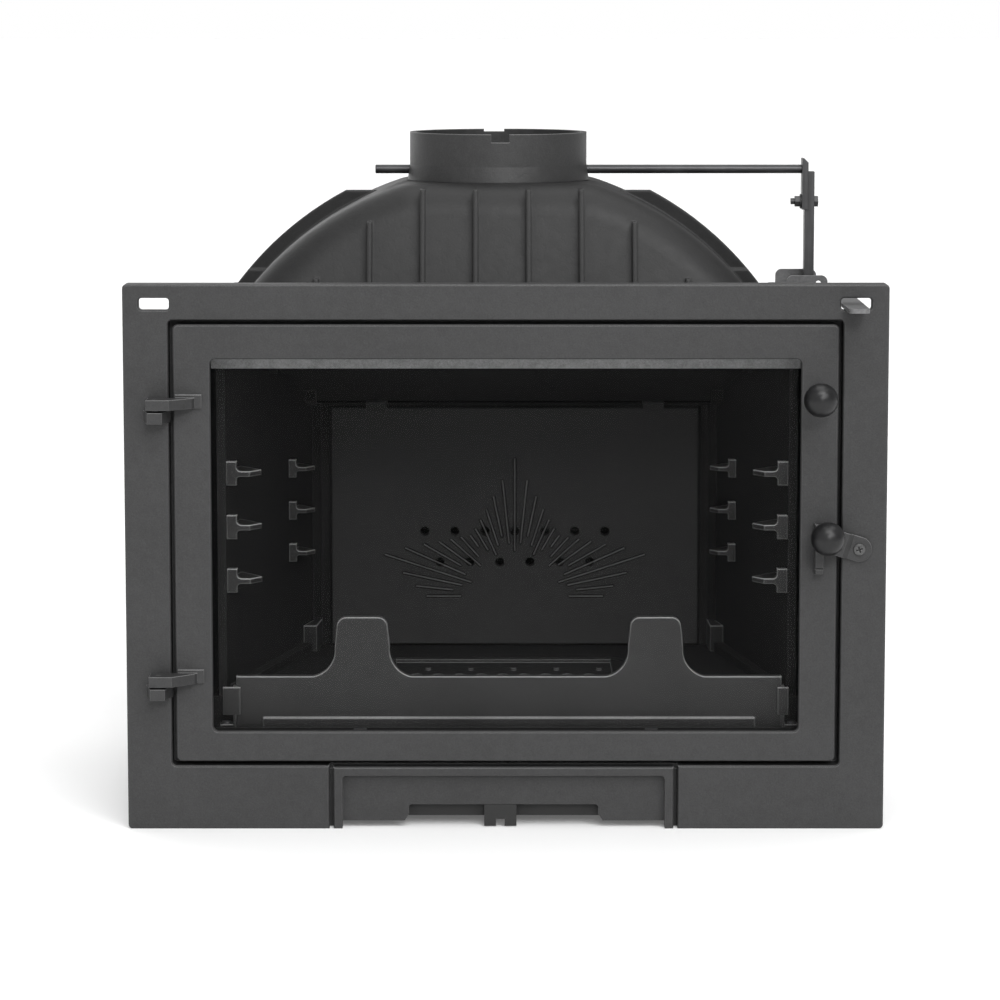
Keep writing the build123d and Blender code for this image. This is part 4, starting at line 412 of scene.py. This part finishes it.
def ball(name, middle, radius, seat, finish, body, replaced):
    """Turned ball on the Y axis: a sphere's profile from its front pole back to the seat's
    radius, where a shallow groove and a flat close it on its stud."""
    turns = np.linspace(0, 2 * np.pi, 72, endpoint=False)
    last = math.pi - math.asin(seat / radius)
    fall = np.linspace(0.002, last - 0.07, 56)
    out = np.concatenate([radius * np.sin(fall),
                          [seat + 0.0011, seat + 0.0006, seat + 0.0002, seat]])
    back = np.concatenate([-radius * np.cos(fall),
                           radius * np.cos(0.5) + np.array([0.0010, 0.0005, 0.0008, -0.004])])
    points = np.stack([middle[0] + out[:, None] * np.cos(turns),
                       middle[1] + back[:, None] + 0 * turns,
                       middle[2] + out[:, None] * np.sin(turns)], -1)
    grid_piece(name, points, finish, body, replaced)


# sunburst: a slim bar stands in each groove of the fireback, a little below its face. The rays
# fan from level to upright on both sides, between a wavy inner line and a pointed star.
rays = 16
groove_width = 3.8 * MM
bar_gap = 1.2 * MM
steps = np.arange(rays)
lean = steps * np.pi / 2 / (rays - 1)
inner = (53 - 8 * np.cos(np.pi / 2 * (rays - 1 - steps))) * MM
star = np.array([[0, 141], [44, 63], [134, 45], [90, 0]]) * MM
first, along_side = star[:-1, :, None], np.diff(star, axis=0)[:, :, None]
aimed = np.stack([np.cos(lean), np.sin(lean)])
turned = along_side[:, 0] * aimed[1] - along_side[:, 1] * aimed[0]
share = (first[:, 1] * aimed[0] - first[:, 0] * aimed[1]) / turned
length = ((first[:, 0] + along_side[:, 0] * share) * aimed[0]
          + (first[:, 1] + along_side[:, 1] * share) * aimed[1])
outer = np.where((share >= -0.001) & (share <= 1.001), length, 0).max(axis=0)
kept = outer - inner > 2 * groove_width
lean, inner, outer = lean[kept], inner[kept] + bar_gap, outer[kept] - bar_gap
lean = np.concatenate([lean, np.pi - lean[:-1]])
inner, outer = np.concatenate([inner, inner[:-1]]), np.concatenate([outer, outer[:-1]])
sun_x, sun_z = 9.6 * MM, 167.6 * MM
beside = np.array([-0.7, -0.5, 0.5, 0.7]) * MM
behind = fireback_face + np.array([1.95, 0.35, 0.35, 1.95]) * MM
far = np.stack([inner, outer], -1)[:, :, None]
bars = np.stack([sun_x + far * np.cos(lean)[:, None, None] - beside * np.sin(lean)[:, None, None],
                 np.broadcast_to(behind, (len(lean), 2, 4)),
                 sun_z + far * np.sin(lean)[:, None, None] + beside * np.cos(lean)[:, None, None]],
                -1)
corner = np.arange(len(lean))[:, None, None] * 8
sides = np.array([[0, 1, 5, 4], [1, 2, 6, 5], [2, 3, 7, 6], [3, 0, 4, 7], [3, 2, 1, 0],
                  [4, 5, 6, 7]])[None]
placed("sun_bars", bars, corner + sides, "bar_paint", "body", smooth=False)

# rope seal of the door: two crossed sets of strands round a soft square section
rope_low, rope_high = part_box("door_rope")
rope_half = 4.5 * MM
rope_corner = 7 * MM
rope_rings = 1500
path, outward = ring_path((rope_low[0], rope_low[2]), (rope_high[0], rope_high[2]),
                          rope_half, rope_corner, rope_rings)
around = np.linspace(0, 2 * np.pi, 20, endpoint=False)
steps = np.arange(rope_rings)[:, None]
strands = np.maximum(np.abs(np.sin(steps * np.pi / 6 + 3 * around)),
                     np.abs(np.sin(steps * np.pi / 6 - 3 * around)))
swell = 0.9 + 0.1 * strands
across = softened(np.cos(around), 0.75) * rope_half * swell
deep = softened(np.sin(around), 0.75) * (rope_high[1] - rope_low[1]) / 2 * swell
rope_points = np.stack([path[:, :1] + outward[:, :1] * across,
                        (rope_low[1] + rope_high[1]) / 2 + deep,
                        path[:, 1:] + outward[:, 1:] * across], -1)
grid_piece("rope_seal", rope_points, "braid", "door", ["door_rope"], (True, True))

# tape under the glass: a flat woven section between an outer and an inner rounded rectangle,
# narrower along the glass's lower edge
tape_low, tape_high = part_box("glass_seal")
lap_side = 9 * MM
lap_base = 5.7 * MM
tape_corner = 5 * MM
tape_rings = 960
outer_path = ring_path((tape_low[0], tape_low[2]), (tape_high[0], tape_high[2]),
                       0, tape_corner, tape_rings)[0]
inner_path = ring_path((tape_low[0] + lap_side, tape_low[2] + lap_base),
                       (tape_high[0] - lap_side, tape_high[2] - lap_side),
                       0, tape_corner, tape_rings)[0]
around = np.linspace(0, 2 * np.pi, 16, endpoint=False)
inward = 0.5 + 0.5 * softened(np.cos(around), 0.5)
weave = 0.9 + 0.1 * np.abs(np.sin(np.arange(tape_rings)[:, None] * np.pi / 3))
thick = softened(np.sin(around), 0.5) * weave * (tape_high[1] - tape_low[1]) / 2
flat = outer_path[:, None] * (1 - inward[:, None]) + inner_path[:, None] * inward[:, None]
tape_points = np.stack([flat[..., 0], (tape_low[1] + tape_high[1]) / 2 + thick, flat[..., 1]], -1)
grid_piece("glass_tape", tape_points, "felt", "door", ["glass_seal"], (True, True))

stud_radius = 4.6 * MM
for name, node, body in (("door_ball", "door_knob", "door"),
                         ("latch_ball", "latch_knob", "latch")):
    low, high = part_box(node)
    middle = (np.array(low) + np.array(high)) / 2
    radius = (high[0] - low[0]) / 2
    middle[1] = low[1] + radius
    ball(name, middle, radius, stud_radius, "knob_paint", body, [node])

# ---------------------------------------------------------------- floor, lights and camera
# the floor is a round sheet of rings, at the height of the object's lowest point
spokes = 96
turns = np.linspace(0, 2 * np.pi, spokes, endpoint=False)
reach = np.array([0.01, 0.6, 1.2, 2.5, 5, 10, 20, 40, 80])
floor_points = np.stack([reach[:, None] * np.cos(turns), reach[:, None] * np.sin(turns),
                         np.full((len(reach), len(turns)), cad_low[2])], -1)
floor_mesh = bpy.data.meshes.new("floor")
ring = np.arange(spokes)
after = (ring + 1) % spokes
starts = np.arange(len(reach) - 1)[:, None] * spokes
cells = np.stack([starts + ring, starts + spokes + ring, starts + spokes + after,
                  starts + after], -1)
floor_mesh.from_pydata(floor_points.reshape(-1, 3).tolist(), [],
                       cells.reshape(-1, 4).tolist() + [ring.tolist()])
floor = bpy.data.objects.new("floor", floor_mesh)
scene.collection.objects.link(floor)
floor_mesh.materials.append(surface(
    "floor_paint", lambda place: {
        "Base Color": place.noise(1.5, 2).between(0.2, 0.8).colour((0.86, 0.86, 0.86),
                                                                   (0.9, 0.9, 0.9))},
    Roughness=0.8, Emission_Color=(1, 1, 1, 1), Emission_Strength=0.12))
floor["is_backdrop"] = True

# a white studio: the backdrop is bright where the picture shows it, and lights the object softly
world = bpy.data.worlds.new("studio")
scene.world = world
world.use_nodes = True
sky = world.node_tree
backdrop = sky.nodes["Background"]
backdrop.inputs["Color"].default_value = (1, 1, 1, 1)
backdrop.inputs["Strength"].default_value = 1.0
glow = sky.nodes.new("ShaderNodeBackground")
glow.inputs["Color"].default_value = (1, 1, 1, 1)
glow.inputs["Strength"].default_value = 0.32
ray = sky.nodes.new("ShaderNodeLightPath")
either = sky.nodes.new("ShaderNodeMixShader")
sky.links.new(ray.outputs["Is Camera Ray"], either.inputs[0])
sky.links.new(glow.outputs[0], either.inputs[1])
sky.links.new(backdrop.outputs[0], either.inputs[2])
sky.links.new(either.outputs[0], sky.nodes["World Output"].inputs[0])

def hang(name, kind):
    """Lamp of a kind with its object in the scene."""
    lamp = bpy.data.lights.new(name, kind)
    light = bpy.data.objects.new(name, lamp)
    scene.collection.objects.link(light)
    return lamp, light


# broad lamps far away, so that the floor is lit evenly: direction towards each, spread, strength
for name, towards, spread, strength in (("key", (0.45, -0.95, 0.85), 34, 1.3),
                                        ("front", (0.1, -1.0, 0.42), 9, 0.6),
                                        ("fill", (-0.9, -0.8, 0.5), 60, 0.3),
                                        ("rear", (-0.5, 0.9, 0.35), 50, 0.8),
                                        ("top", (0.1, 0.15, 1.0), 55, 1.25)):
    lamp, light = hang(name, "SUN")
    lamp.angle, lamp.energy = math.radians(spread), strength
    away = np.array(towards)
    light.rotation_euler = (math.acos(away[2] / np.linalg.norm(away)), 0,
                            math.atan2(away[1], away[0]) + math.pi / 2)

lamp, light = hang("softbox", "AREA")
lamp.shape, lamp.size, lamp.size_y, lamp.energy = "RECTANGLE", 1.2, 0.5, 11
light.location = (0.25, -1.15, 1.9)
light.rotation_euler = (math.radians(36), 0, math.radians(12))

# the camera looks down a little; its lens is given by the focal length in widths of the picture
picture_widths = 3.648
film_width = 36
looks_down = math.radians(6.949)
camera_data = bpy.data.cameras.new("camera")
camera = bpy.data.objects.new("camera", camera_data)
scene.collection.objects.link(camera)
scene.camera = camera
camera.location = (-0.0053, -3.4859, 0.7584)
camera.rotation_euler = (math.pi / 2 - looks_down, 0, 0)
camera_data.sensor_width = film_width
camera_data.lens = film_width * picture_widths
camera_data.shift_y = -0.05
camera_data.clip_end = 200
scene.view_settings.view_transform = "Standard"

low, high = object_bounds()
